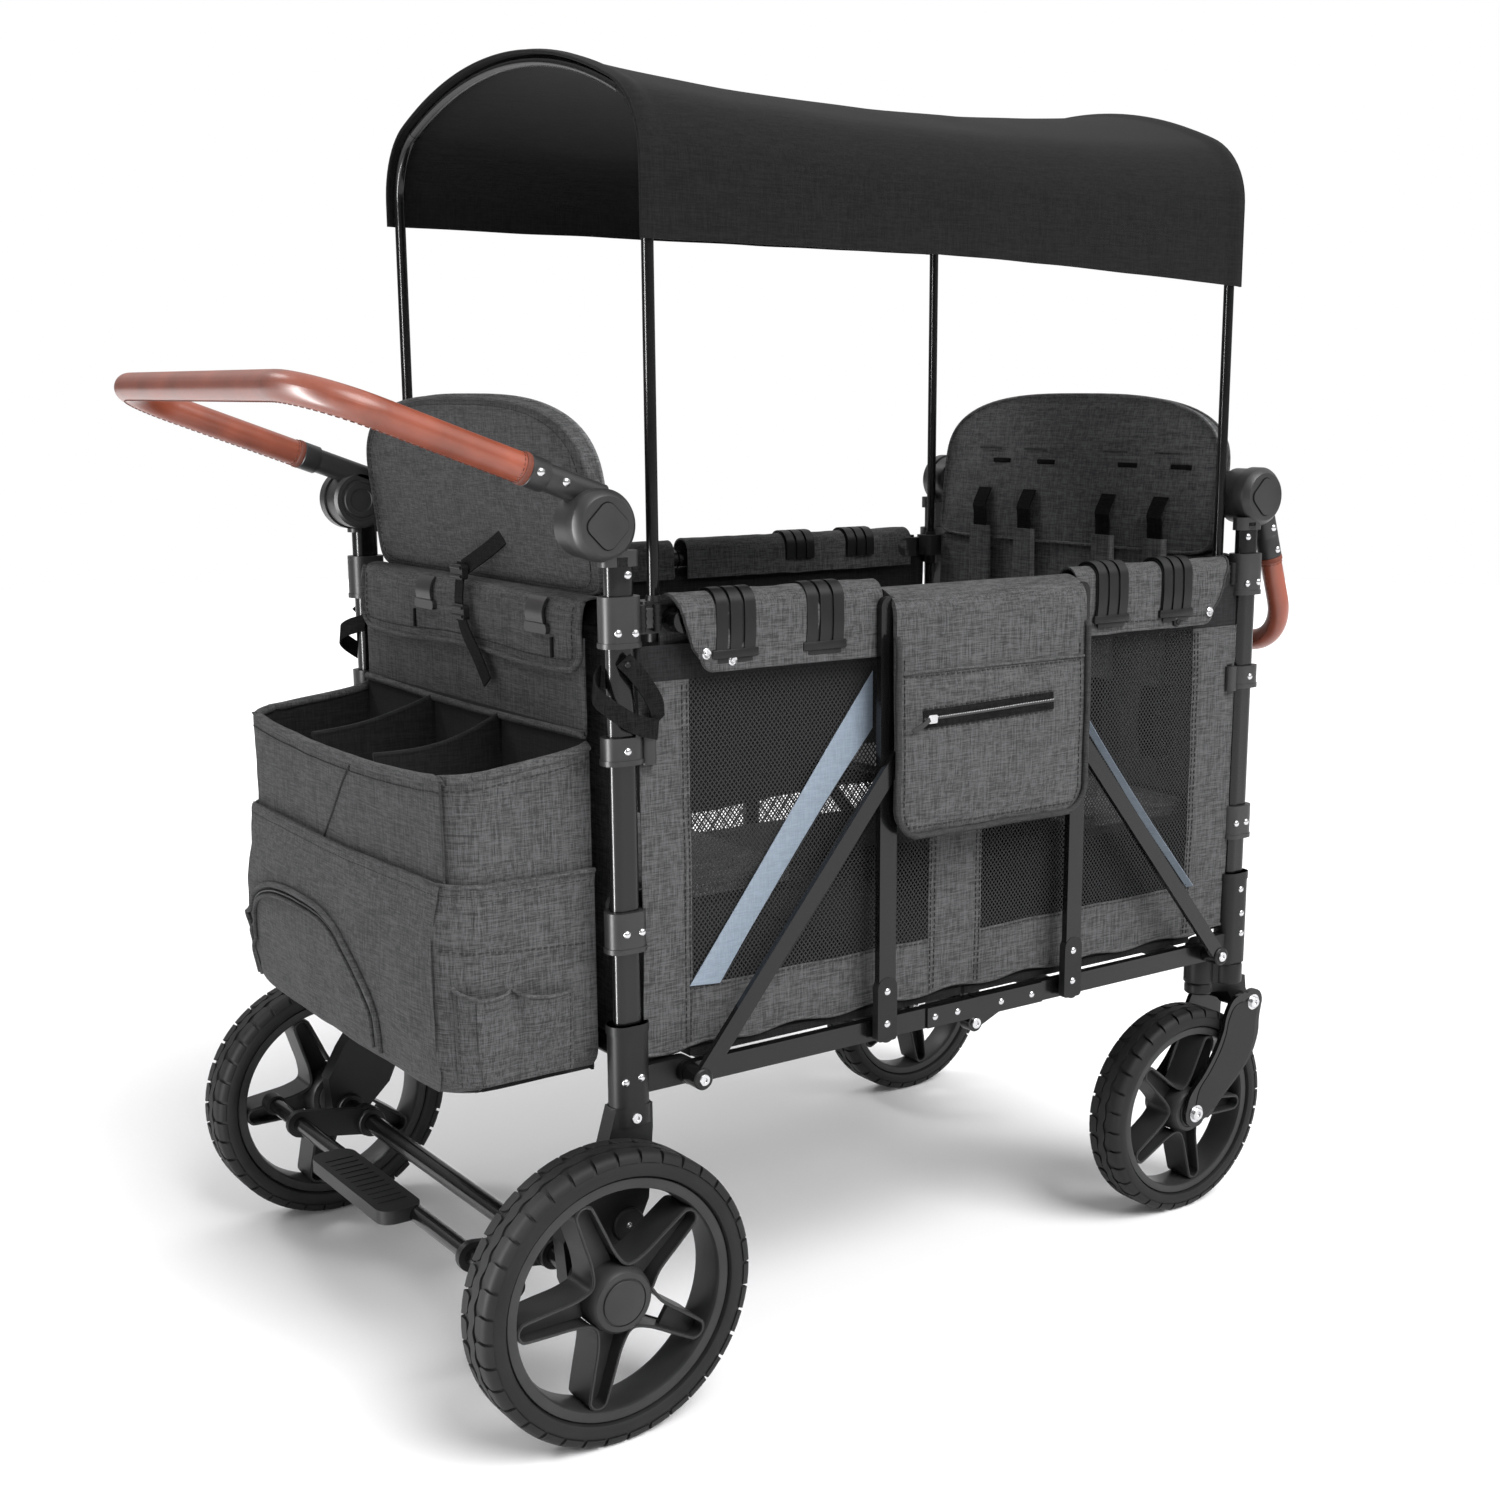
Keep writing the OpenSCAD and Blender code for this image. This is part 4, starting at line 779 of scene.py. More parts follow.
class WAGON_OT_frame(Operator):
    """Give the tubes, boards and bars of the frame their finishes"""

    bl_idname = "wagon.frame"
    bl_label = "Frame"

    def execute(self, context):
        tubes = ("end_frame", "rails", "braces", "mid_posts", "top_rails")
        coat([end + "_" + tube_name for end, sign in ENDS for tube_name in tubes], "frame_gloss")
        coat(["canopy_rear_hoop", "canopy_front_hoop"], "frame_gloss")
        coat([end + board for end, sign in ENDS for board in ("_floor_board", "_bench")], "lining_cloth")
        coat([end + "_handle_grip" for end, sign in ENDS], "leather")
        return {"FINISHED"}


class WagonCanopy(PropertyGroup):
    """Sizes of the canopy"""

    rear_x: length("Rear edge", "Rear edge of the cloth from the tub's middle", -394)
    front_x: length("Front edge", "Front edge of the cloth from the tub's middle", 421)
    rear_hoop: length("Rear hoop", "Rear hoop from the tub's middle", -383)
    front_hoop: length("Front hoop", "Front hoop from the tub's middle", 411)
    leg: length("Leg", "Hoop legs from the wagon's middle plane", 273)
    shoulder_z: length("Shoulder height", "Height where the hoop starts to bend", 1226)
    shoulder_r: length("Shoulder radius", "Radius of the hoop's shoulder", 75)
    shoulder_turn: angle("Shoulder turn", "How far the shoulder bends before the crown", 66.8)
    crown_r: length("Crown radius", "Radius of the hoop's crown", 578)
    crown_z: length("Crown centre", "Height of the crown's centre", 763.6)
    proud: length("Cloth stand-off", "Cloth from the hoop's centre line", 8)
    near_hem: length("Near hem", "Height of the hem on the side of the pouch", 1153)
    far_hem: length("Far hem", "Height of the hem on the other side", 1199)
    hem_drop: length("Hem drop", "How far the near hem falls at its front end", 20)
    sag: length("Sag", "How far the cloth sags between the hoops", 24)
    sleeve: length("Sleeve", "Width of the sleeve on each hoop", 19)
    thick: length("Thickness", "Thickness of the cloth", 1.4)
    folded_keep: share("Folded share", "Length that is left when the wagon folds", 0.4376)


class WagonTub(PropertyGroup):
    """Sizes of the tub's sides, rim and pouch"""

    panel_y: length("Panel place", "Side panels from the middle plane", 298)
    panel_end: length("Panel end", "End of the side panels from the tub's middle", 418)
    panel_top: length("Panel top", "Top of the side panels", 773)
    panel_low: length("Panel bottom", "Hem of the side panels", 359)
    window_top: length("Window top", "Top of the net windows", 738)
    band_top: length("Band top", "Top of the charcoal band along the hem", 424)
    rear_strip: length("Rear strip", "Inner edge of the rear strip", -361)
    front_strip: length("Front strip", "Inner edge of the front strip", 345)
    middle_strip_rear: length("Middle strip rear", "Rear edge of the middle strip", -55)
    middle_strip_front: length("Middle strip front", "Front edge of the middle strip", 20)
    # The sheet inside the far windows is painted shade: a dark cloth that darkens the view through the nets
    curtain_low: length("Curtain bottom", "Bottom of the cloth inside the far windows", 458)
    gusset_x: length("Gusset", "Inner edge of the gussets by the front posts", 388)
    gusset_top: length("Gusset top", "Top of the gussets by the front posts", 801)
    rail_y: length("Rail place", "Top rail from the middle plane", 303)
    rail_z: length("Rail height", "Height of the top rail", 797)
    roll_top: length("Roll top", "Top of the cloth on the rail", 822)
    roll_half: length("Roll half width", "Half width of the cloth roll", 15.8)
    apron_low: length("Apron bottom", "Bottom of the cloth that hangs from the roll", 746)
    pouch_y: length("Pouch place", "Back of the pouch from the middle plane", 340)
    pouch_half: length("Pouch half width", "Half the width of the pouch", 133)
    pouch_low: length("Pouch bottom", "Height of the pouch's bottom", 554)
    pouch_corner: length("Pouch corner", "Radius of the pouch's lower corners", 30)
    pouch_thick: length("Pouch thickness", "Thickness of the pouch at its edges", 6)
    folded_keep: share("Folded share", "Length of a side panel that is left when the wagon folds", 0.4518)
    pouch_keep: share("Pouch folded share", "Width of the pouch that is left when the wagon folds", 0.34)


class WagonBag(PropertyGroup):
    """Sizes of the organizer bag"""

    front_x: length("Front", "Front of the bag from the tub's middle", -452)
    depth: length("Depth", "Depth of the bag at its mouth", 148)
    belly: length("Belly", "How far the bag swells below its fold line", 14)
    half_w: length("Half width", "Half the width of the bag", 262)
    corner: length("Corner", "Radius of the upright corners", 38)
    mouth_z: length("Mouth height", "Height of the mouth at the posts", 676)
    mouth_sag: length("Mouth sag", "How far the mouth sags at the back", 30)
    fold_z: length("Fold line", "Height of the outer pocket's top edge", 553)
    low_z: length("Bottom", "Height of the bottom", 338)
    bottom_r: length("Bottom radius", "Rounding at the bottom", 30)
    layer: length("Pocket layer", "How far the outer pocket stands off", 4)
    divider_y: length("Divider place", "Dividers from the middle plane", 78.6)
    back_top: length("Back top", "Top of the back panel under the flap", 780)


class WagonSeats(PropertyGroup):
    """Sizes of the backrests, bench pads, walls and harness"""

    wall_x: length("Wall place", "End walls from the tub's middle", 419)
    wall_half: length("Wall half width", "Half the width of the end walls", 258)
    wall_low: length("Wall bottom", "Bottom of the end walls", 357)
    wall_top: length("Wall top", "Top of the end walls", 816)
    flap_x: length("Flap place", "Flaps over the cross tubes from the tub's middle", 455)
    flap_low: length("Flap bottom", "Bottom of the flaps", 747)
    rest_half: length("Backrest half width", "Half the width of the backrests", 256)
    rest_high: length("Backrest height", "Height of the backrests along their lean", 192)
    rest_thick: length("Backrest thickness", "Thickness of the backrests", 22)
    rest_lean: angle("Backrest lean", "Lean of the backrests away from the tub", 7)
    pad_rear: length("Pad outer edge", "Outer edge of the bench pads from the tub's middle", 382)
    pad_front: length("Pad inner edge", "Inner edge of the bench pads from the tub's middle", 207)
    pad_half: length("Pad half width", "Half the width of the bench pads", 275)
    pad_low: length("Pad bottom", "Underside of the bench pads", 510.4)
    pad_top: length("Pad top", "Top of the bench pads' crown", 535)
    strap_w: length("Harness width", "Width of the harness pads", 44)


def squash_along(obj, anchor_x, keep):
    """Gives a cloth its own copy of its mesh."""
    in_row(anchor_x, 0, 0)
    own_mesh(obj)


def hoop_section(c, proud, near_hem, far_hem):
    """The way over the hoop from the near hem to the far hem, as pairs across and up."""
    turn = math.degrees(c.shoulder_turn)
    shoulder = (c.leg - c.shoulder_r, c.shoulder_z)
    near = [(-y, z) for y, z in arc(shoulder, c.shoulder_r + proud, 0, turn, 8)]
    crown = arc((0, c.crown_z), c.crown_r + proud, 180 - turn, turn, 20)
    far = arc(shoulder, c.shoulder_r + proud, turn, 0, 8)
    steps = [near_hem + (c.shoulder_z - near_hem) * i / 5 for i in range(5)]
    down = [c.shoulder_z + (far_hem - c.shoulder_z) * i / 5 for i in range(1, 6)]
    return ([(-c.leg - proud, z) for z in steps] + near + crown[1:-1] + far
            + [(c.leg + proud, z) for z in down])


class WAGON_OT_canopy(Operator):
    """Stretch the canopy cloth over its two hoops"""

    bl_idname = "wagon.canopy"
    bl_label = "Canopy"

    def execute(self, context):
        c = in_mm(context.scene.wagon_canopy)
        span = c.front_x - c.rear_x

        def place(u, v, lift=0.0):
            x = c.rear_x + span * u
            near = c.near_hem - c.hem_drop * max(u - 0.35, 0) ** 1.5 / 0.65**1.5
            between = (x - c.rear_hoop) / (c.front_hoop - c.rear_hoop)
            slack = math.sin(math.pi * min(max(between, 0), 1)) ** 0.7
            off = min(abs(x - c.rear_hoop), abs(x - c.front_hoop))
            sleeve = 1.6 * max(1 - (2 * off / c.sleeve) ** 4, 0)
            way = along([(0, y, z) for y, z in hoop_section(c, c.proud + lift + sleeve, near, c.far_hem)])
            spot = way(v)
            top = math.sin(math.pi * v) ** 0.6
            spot.z -= c.sag * slack * top
            pull = 1 - abs(2 * v - 1) ** 6
            spot.y += math.copysign(2.2 * (1 - pull), spot.y) * ripple((x, 0, v * 40), 60, 1.0)
            spot.z += ripple((x, spot.y, 7), 90, 1.2) * slack
            return Vector((x, spot.y, spot.z))

        sheet = Piece("canopy_cloth_sheet")
        sheet.add(cloth(110, 76, place, -c.thick), "canopy_cloth")
        for low, high in ((0, 0.016), (0.984, 1)):
            hem = cloth(110, 3, lambda u, v: place(u, low + (high - low) * v, 0.7), -0.6)
            sheet.add(hem, "canopy_cloth")
        for hoop in (c.rear_hoop, c.front_hoop):
            for side in (-1, 1):
                seam_u = (hoop + side * c.sleeve / 2 - c.rear_x) / span
                if 0 < seam_u < 1:
                    seam = trail(90, lambda at: place(seam_u, at, 0.25))
                    sheet.add(tube(seam, 0.7, 6), "binding")
        for edge in (0, 1):
            line = trail(90, lambda at: place(edge, at))
            sheet.add(tube(line, 1.8, 8), "canopy_cloth")
        obj = sheet.place("canopy_rear", "black_cloth", ["canopy_fabric"], 50)
        way = [Vector((0, y, z)) for y, z in hoop_section(c, c.proud, c.near_hem, c.far_hem)]
        squash_along(obj, c.rear_x, c.folded_keep)
        return {"FINISHED"}


def side_panel(t, name, side):
    sheet = Piece(name)

    def place_in(x, z, thick):
        rise = (z - t.panel_low) / (t.panel_top - t.panel_low)
        belly = 2.6 * math.sin(math.pi * rise)
        wave = ripple((x, side * 40, z), 70, 1.5) + ripple((x, side * 40, z * 0.4), 26, 0.7)
        hem = 5.5 * math.sin(x / 34 + side) ** 2 * max(0.2 - rise, 0) * 5
        return Vector((x, side * (t.panel_y + belly + wave + thick), z + hem))

    def region(x, z, finish, thick=1.2, proud=0.0):
        wide, high = x[1] - x[0], z[1] - z[0]
        steps = max(int(wide / 7), 3), max(int(high / 9), 3)
        part = cloth(*steps, lambda u, v: place_in(x[0] + wide * u, z[0] + high * v, proud), thick)
        sheet.add(part, finish)

    end = t.panel_end
    middle = (t.middle_strip_rear, t.middle_strip_front)
    windows = ((t.rear_strip, middle[0]), (middle[1], t.front_strip))
    for x in ((-end, t.rear_strip), (t.front_strip, end), middle):
        region(x, (t.panel_low, t.window_top), "heather_cloth", proud=0.8)
    for x in windows:
        region(x, (t.panel_low, t.band_top), "heather_cloth", proud=0.4)
    region((-end, end), (t.window_top, t.panel_top), "lining_cloth")
    for x in windows:
        region(x, (t.band_top, t.window_top), "net", 0.6)
    low, high = t.panel_low + 4, t.window_top - 4
    for x in (t.rear_strip, *middle, t.front_strip):
        inward = -1 if x in (t.rear_strip, middle[1]) else 1
        for step in (2.5, 8):
            line = trail(40, lambda at: place_in(x + inward * step, low + (high - low) * at, 1.7))
            sheet.sew(line)
    for first, last in windows:
        line = trail(40, lambda at: place_in(first + (last - first) * at, t.band_top - 3, 1.2))
        sheet.sew(line)
    hem = trail(120, lambda at: place_in(-end + 2 * end * at, t.panel_low + 1.5, 0.4))
    sheet.add(tube(hem, 2.0, 8), "heather_cloth")
    turned_in = Vector((0, -9 * side, -9))
    fold_z = t.panel_low + 3
    foot = cloth(120, 4, lambda u, v: place_in(end * (2 * u - 1), fold_z, -1) + turned_in * v, 0.8)
    sheet.add(foot, "lining_cloth")
    region((t.gusset_x, end), (t.panel_top, t.gusset_top), "lining_cloth")
    window_ribbons(t, sheet, side)
    # Painted shade: a dark sheet behind the far windows only
    if side > 0:
        far_curtain(t, place_in)
    obj = sheet.place("rear_frame", "charcoal_cloth", ["side_panels"], 40)
    squash_along(obj, -end, t.folded_keep)


def far_curtain(t, place_in):
    """A dark sheet that hangs inside the far windows only, painted shade that darkens the view through the
    nets.
    """
    inside = Piece("far_curtain")
    low, high = t.curtain_low, t.window_top + 10
    wide = t.front_strip - t.rear_strip

    def place(u, v):
        z = low + (high - low) * v + 5 * math.sin(9 * u) * (1 - v)
        spot = place_in(t.rear_strip + wide * u, z, -3)
        return spot + Vector((0, 0.9 * math.sin(60 * u) * (1 - v), 0))

    inside.add(cloth(120, 24, place, 0.8), "lining_cloth")
    obj = inside.place("rear_frame", "black_cloth", (), 40)
    squash_along(obj, -t.panel_end, t.folded_keep)


def window_ribbons(t, sheet, side):
    y = side * (t.panel_y + 5.4)
    upper = along([(-366, y, 427), (-290, y + side * 1.4, 528), (-200, y, 646), (-136, y, 728)])
    lower = along([(-330, y, 424), (-280, y - side * 0.8, 490), (-200, y + side, 594), (-136, y, 668)])
    sheet.add(cloth(60, 4, lambda u, v: upper(u).lerp(lower(u), v), 0.8 * side), "ribbon")
    thin = [(130, y, 700), (200, y + side * 0.8, 606), (280, y, 508), (352, y, 424)]
    sheet.add(strap(thin, Vector((0.35, side * 0.75, 0.3)), 9, 0.8, 60), "ribbon")


class WAGON_OT_side_panels(Operator):
    """Hang the side panels with their net windows and ribbons"""

    bl_idname = "wagon.side_panels"
    bl_label = "Side panels"

    def execute(self, context):
        t = in_mm(context.scene.wagon_tub)
        for name, side in (("side_panel_near", -1), ("side_panel_far", 1)):
            side_panel(t, name, side)
        return {"FINISHED"}


def rail_wrap(t, proud, low):
    """The way over the rail from inside to the apron's bottom, as pairs out and up."""
    half = t.roll_half + proud
    top = t.roll_top + proud - half
    inside = [(t.rail_y - half + 1, 772), (t.rail_y - half, 790)]
    over = trail(10, lambda at: (t.rail_y - half * math.cos(math.pi * at),
                                 top + half * math.sin(math.pi * at)))
    outside = [(t.rail_y + half + 0.5, 784), (t.rail_y + half - 1, 766), (t.rail_y + half - 0.5, low)]
    return inside + over + outside


def rim_half(t, end, sign, clips):
    rolls = Piece(end + "_rim_cloth")
    plates = Piece(end + "_rim_clip_set")
    for side in (-1, 1):
        inner, outer = RIM_INNER[side], RIM_OUTER[end]

        def place(u, v, side=side, inner=inner, proud=0.0):
            reach = inner + (outer - inner) * u
            slant = 52 * max(v - 0.45, 0) * max((u - 0.72) / 0.28, 0) ** 2
            corner = 15 * max(v - 0.82, 0) / 0.18 * max((u - 0.85) / 0.15, 0) ** 2
            way = along([(0, y, z) for y, z in rail_wrap(t, proud, t.apron_low + corner)])
            spot = way(v)
            x = sign * (reach - slant)
            puff = ripple((x, side * 90, v * 60), 34, 1.7) + ripple((x, side * 30, v * 140), 16, 0.7)
            pinch = sum(max(1 - abs(x - c) / 27, 0) for c in clips) * 1.2
            out = (spot.y - t.rail_y) / t.roll_half
            return Vector((x, side * (spot.y + (puff - pinch) * out), spot.z + (puff - pinch) * 0.6))

        rolls.add(cloth(max(int((outer - inner) / 5), 10), 34, place, -2.2), "heather_cloth")
        hem = trail(60, lambda at: place(at, 0.995))
        rolls.add(tube(hem, 1.7, 8), "heather_cloth")
        row = trail(60, lambda at: place(0.03 + 0.9 * at, 0.93, proud=0.4))
        rolls.sew(row)
        end_hem = trail(30, lambda at: place(1, 0.35 + 0.65 * at))
        rolls.add(tube(end_hem, 1.6, 8), "binding")
        for x in clips:
            rim_clip(t, plates, x, side)
        rim_snaps(t, rolls, end, side)
    obj = rolls.place(end + "_top", "charcoal_cloth", [end + "_rim_rolls"], 45)
    plates.place(end + "_top", "fitting", [end + "_rim_clips"], 35)


def rim_clip(t, plates, x, side):
    way = rail_wrap(t, 2.2, 762)[1:]
    path = [(x, side * y, z) for y, z in way]
    plates.add(strap(path, X_AXIS, 48, 1.2, 46), "cast_alloy")
    ribs = [(x, side * (y + math.copysign(1.6, y - t.rail_y)), z + (2.5 if z > t.rail_z + 10 else 0))
            for y, z in way]
    for shift in (-16.5, 0, 16.5):
        rib = [(px + shift, py, pz) for px, py, pz in ribs]
        plates.add(strap(rib, X_AXIS, 13, 1.4, 46), "cast_alloy")
    out = side * (t.rail_y + t.roll_half + 3)
    foot = block((x - 27, x + 27), sorted((out - side * 4, out + side * 0.5)), (758, 767), 1.4)
    plates.add(foot, "cast_alloy")
    lip = block((x - 21, x + 21), sorted((out - side * 4, out - side * 1)), (753, 759), 1.0)
    plates.add(lip, "cast_alloy")


def rim_snaps(t, rolls, end, side):
    y = side * (t.rail_y + t.roll_half + 0.4)
    spots = {"rear": ((-352, 764, "steel"), (-322, 756, "steel")),
             "front": ((350, 760, "steel"), (296, 752, "cast_alloy"))}
    for x, z, kind in spots[end]:
        head = turned([(0, 2.6), (2.2, 2.6), (2.6, 1.7), (4.2, 2.2), (5.6, 1.2), (5.8, -1), (0, -1)],
                      (x, y, z), (0, side, 0), 20)
        rolls.add(head, kind)


class WAGON_OT_rim(Operator):
    """Wrap the top rails in cloth, with clips and snaps"""

    bl_idname = "wagon.rim"
    bl_label = "Rim cloth and clips"

    def execute(self, context):
        t = in_mm(context.scene.wagon_tub)
        for end, sign in ENDS:
            rim_half(t, end, sign, RIM_CLIPS[end])
        return {"FINISHED"}


def pouch_zip(pouch, place):
    def spot(i, rise, proud):
        return place(0.12 + 0.68 * i, 0.36 + 0.012 * i + rise, proud)

    tape = cloth(40, 3, lambda u, v: spot(u, 0.05 * (v - 0.5), 0.9), -0.7)
    pouch.add(tape, "webbing")
    pouch.add(tube(trail(40, lambda at: spot(at, 0, 1.6)), 1.5, 6), "zip_teeth")
    pouch.add(stitches(trail(120, lambda at: spot(at, 0.004, 2.2)), 1.2, 1.2, 1.0), "steel")
    for rise in (0.03, -0.03):
        pouch.sew(trail(40, lambda at: spot(at, rise, 0.7)))
    head = spot(0.05, 0, 3)
    slider = bar((head.x - 6, head.x + 6), (head.y - 2.5, head.y + 2), (head.z - 4.5, head.z + 4.5), 2,
                 0.8, 1)
    pouch.add(slider, "steel")
    pull = strap([(head.x - 4, head.y - 2.6, head.z), (head.x - 14, head.y - 4, head.z - 5),
                  (head.x - 26, head.y - 2, head.z - 11)], Vector((0.35, 0, -0.9)), 5, 1.4, 12)
    pouch.add(pull, "zip_teeth")


class WAGON_OT_pouch(Operator):
    """Hang the side pouch over the rail"""

    bl_idname = "wagon.pouch"
    bl_label = "Side pouch"

    def execute(self, context):
        t = in_mm(context.scene.wagon_tub)
        back = t.pouch_y
        over = ((back, t.pouch_low), (back + 1, 640), (back, 740), (back - 1, 788), (back - 6, 803),
                (back - 20, 812), (305, 815), (290, 810), (285, 795), (284, 766))
        way = along([(0, y, z) for y, z in over])
        top_share = 0.625

        def half(z):
            rise = max(z - t.pouch_low, 0)
            if rise >= t.pouch_corner:
                return t.pouch_half
            return t.pouch_half - t.pouch_corner + math.sqrt(t.pouch_corner**2 - (t.pouch_corner - rise) ** 2)

        def place(u, v, proud=0.0):
            spot = way(v)
            lower = max(1 - v / top_share, 0)
            wide = half(spot.z) if v < 0.3 else t.pouch_half
            x = (2 * u - 1) * wide
            edge = 1 - (2 * u - 1) ** 4
            swell = 6.5 * edge * math.sin(math.pi * min(v / 0.5, 1)) ** 0.6 * (v < 0.5)
            wave = ripple((x, 3, spot.z), 60, 1.6) + ripple((x, 9, spot.z), 24, 0.6)
            out = swell + wave * (0.4 + lower) + proud
            return Vector((x, -spot.y - (out if v < 0.6 else -out * 0.2),
                           spot.z + (0 if v < 0.6 else out * 0.3)))

        pouch = Piece("side_pouch_cloth")
        pouch.add(cloth(54, 110, place, t.pouch_thick), "heather_cloth")
        edge = [place(0, 0.6 - 0.6 * i / 40, 3) for i in range(40)]
        edge += trail(40, lambda at: place(at, 0.002, 3))
        edge += [place(1, 0.6 * i / 40, 3) for i in range(1, 41)]
        pouch.add(tube(edge, 3.4, 10), "binding")
        inset = [place(0.035, 0.55 - 0.52 * i / 40, 0.6) for i in range(40)]
        inset += trail(40, lambda at: place(0.035 + 0.93 * at, 0.03, 0.6))
        inset += trail(40, lambda at: place(0.965, 0.03 + 0.52 * at, 0.6))
        pouch.sew(inset)
        fold = trail(50, lambda at: place(0.015 + 0.97 * at, 0.5, 1.2))
        pouch.add(tube(fold, 1.6, 8), "heather_cloth")
        pouch.sew(trail(50, lambda at: place(0.03 + 0.94 * at, 0.487, 0.8)))
        pouch_zip(pouch, place)
        obj = pouch.place("rear_side_posts", "charcoal_cloth", ["side_pouch"], 45)
        squash_along(obj, -t.pouch_half, t.pouch_keep)
        return {"FINISHED"}


def bag_plan(b, depth, half, corner):
    """The bag's outline seen from above, from the near post round the back to the far post."""
    back = b.front_x - depth
    near = arc((back + corner, -half + corner), corner, 270, 180, 6)
    far = arc((back + corner, half - corner), corner, 180, 90, 6)
    return [(b.front_x, -half), *near, (back, 0), *far, (b.front_x, half)]


def bag_wall(b, t, z, proud=0.0):
    """A place on the outside at a share of the way round and a height."""
    low_share = min(max((z - b.low_z) / (b.fold_z - b.low_z), 0), 1)
    swell = b.belly * math.sin(math.pi * low_share) ** 0.7
    way = along([(x, y, z) for x, y in bag_plan(b, b.depth + swell + proud, b.half_w + proud,
                                                b.corner + proud)])
    spot = way(t)
    reach = (b.front_x - spot.x) / b.depth
    across = math.cos(math.pi * spot.y / (2 * b.half_w + 8))
    spot.x -= (4 + 5 * low_share) * reach * across
    wave = ripple((spot.x, spot.y, z), 75, 3.0) + ripple((spot.x, spot.y, z * 1.4), 30, 0.9)
    outward = Vector((-1 if reach > 0.8 else -0.2, math.copysign(1 - min(abs(across), 1), spot.y),
                      0)).normalized()
    return spot + outward * wave * min(reach * 2, 1)


def bag_mouth(b, t):
    """Height of the mouth at a share of the way round."""
    return b.mouth_z - b.mouth_sag * max(math.sin(math.pi * t), 0) ** 0.6


def bag_length(b):
    """Length of the way round, seen from above."""
    return 2 * (b.depth - b.corner) + math.pi * b.corner + 2 * (b.half_w - b.corner)


def bag_back(b, y, z, proud):
    """A place on the rear face."""
    t = (b.depth - b.corner + math.pi / 2 * b.corner + y + b.half_w - b.corner) / bag_length(b)
    return bag_wall(b, t, z, proud)


def bag_side(b, x, z, proud):
    """A place on the near side face."""
    return bag_wall(b, (b.front_x - x) / bag_length(b), z, proud)


def bag_seams(b, bag):
    hem = trail(110, lambda at: bag_wall(b, at, b.fold_z, b.layer + 1.2))
    bag.add(tube(hem, 2.6, 8), "heather_cloth")
    row = trail(110, lambda at: bag_wall(b, 0.01 + 0.98 * at, b.fold_z - 9, b.layer + 0.6))
    bag.sew(row)
    under = trail(110, lambda at: bag_wall(b, at, bag_mouth(b, at) - 11, 0.5))
    bag.sew(under)
    slant = trail(20, lambda at: bag_back(b, -42 + 69 * at, 640 - 86 * at, 0.4))
    bag.add(tube(slant, 1.3, 6), "binding")
    seam = 0.21
    top = bag_mouth(b, seam)
    upright = trail(20, lambda at: bag_wall(b, seam, top - (top - b.fold_z) * at, 0.4))
    bag.add(tube(upright, 1.3, 6), "binding")
    arch = along([(0, 232, 352), (0, 224, 405), (0, 196, 452), (0, 130, 478), (0, 50, 484), (0, -20, 474),
                  (0, -66, 440), (0, -93, 395), (0, -90, 352)])
    middle = Vector((0, 70, 380))
    cords = ((0, 6.4, 3.2, "heather_cloth"), (7, 5.6, 1.3, "zip_teeth"), (13, 6.0, 2.4, "heather_cloth"))
    for inward, proud, radius, finish_name in cords:
        spots = [spot + (middle - spot).normalized() * inward for spot in trail(80, arch)]
        line = [bag_back(b, spot.y, spot.z, proud) for spot in spots]
        bag.add(tube(line, radius, 8), finish_name)
    stitch_line = trail(40, lambda at: bag_side(b, -612 + 150 * at, 492 - 12 * at, b.layer + 1))
    bag.sew(stitch_line)


def bag_dividers(b, bag):
    half = b.half_w - 5
    rim_z = 686

    def back(u, v, low, high, shift):
        y = -half + 2 * half * u
        z = low + (high - low) * v
        return Vector((b.front_x + shift + ripple((0, y, z), 60, 1.0), y, z))

    bag.add(cloth(40, 20, lambda u, v: back(u, v, rim_z, b.back_top, 1), 2), "heather_cloth")
    bag.add(cloth(40, 20, lambda u, v: back(u, v, b.low_z + 6, rim_z + 3, 0), 3), "lining_cloth")
    line = trail(60, lambda at: back(at, 0, rim_z - 4 * math.sin(math.pi * at), rim_z, -3))
    bag.add(tube(line, 4.2, 10), "heather_cloth")
    for side in (-1, 1):
        y = side * b.divider_y

        def top(u):
            return rim_z - 2 - 30 * u - 9 * math.sin(math.pi * u)

        def divider(u, v):
            reach = b.depth - 3
            bend = 9 * math.sin(math.pi * u) * v * side
            return Vector((b.front_x - reach * u, y + bend, b.low_z + 8 + (top(u) - b.low_z - 8) * v))

        bag.add(cloth(20, 24, divider, 3), "lining_cloth")
        bag.add(tube(trail(20, lambda at: divider(at, 1)), 3.6, 8), "lining_cloth")


def bag_pocket(b, bag):
    def place(u, v):
        x = -598 + 120 * u
        lobes = abs(math.sin(math.tau * (u * 0.9 + 0.05 * u * v))) ** 0.6
        top = 456 - 14 * u - 8 * lobes
        z = b.low_z + 16 + (top - b.low_z - 16) * v
        crease = 3 * math.exp(-((u - 0.7 + 0.15 * v) / 0.04) ** 2)
        return bag_side(b, x, z, b.layer + 1.5 + (11 * lobes - crease) * v**0.7)

    bag.add(cloth(40, 20, place, 1.6), "heather_cloth")
    bag.add(tube(trail(40, lambda at: place(at, 1)), 2.0, 8), "heather_cloth")
    for u in (0.03, 0.97):
        bag.sew(trail(20, lambda at: place(u, at)))


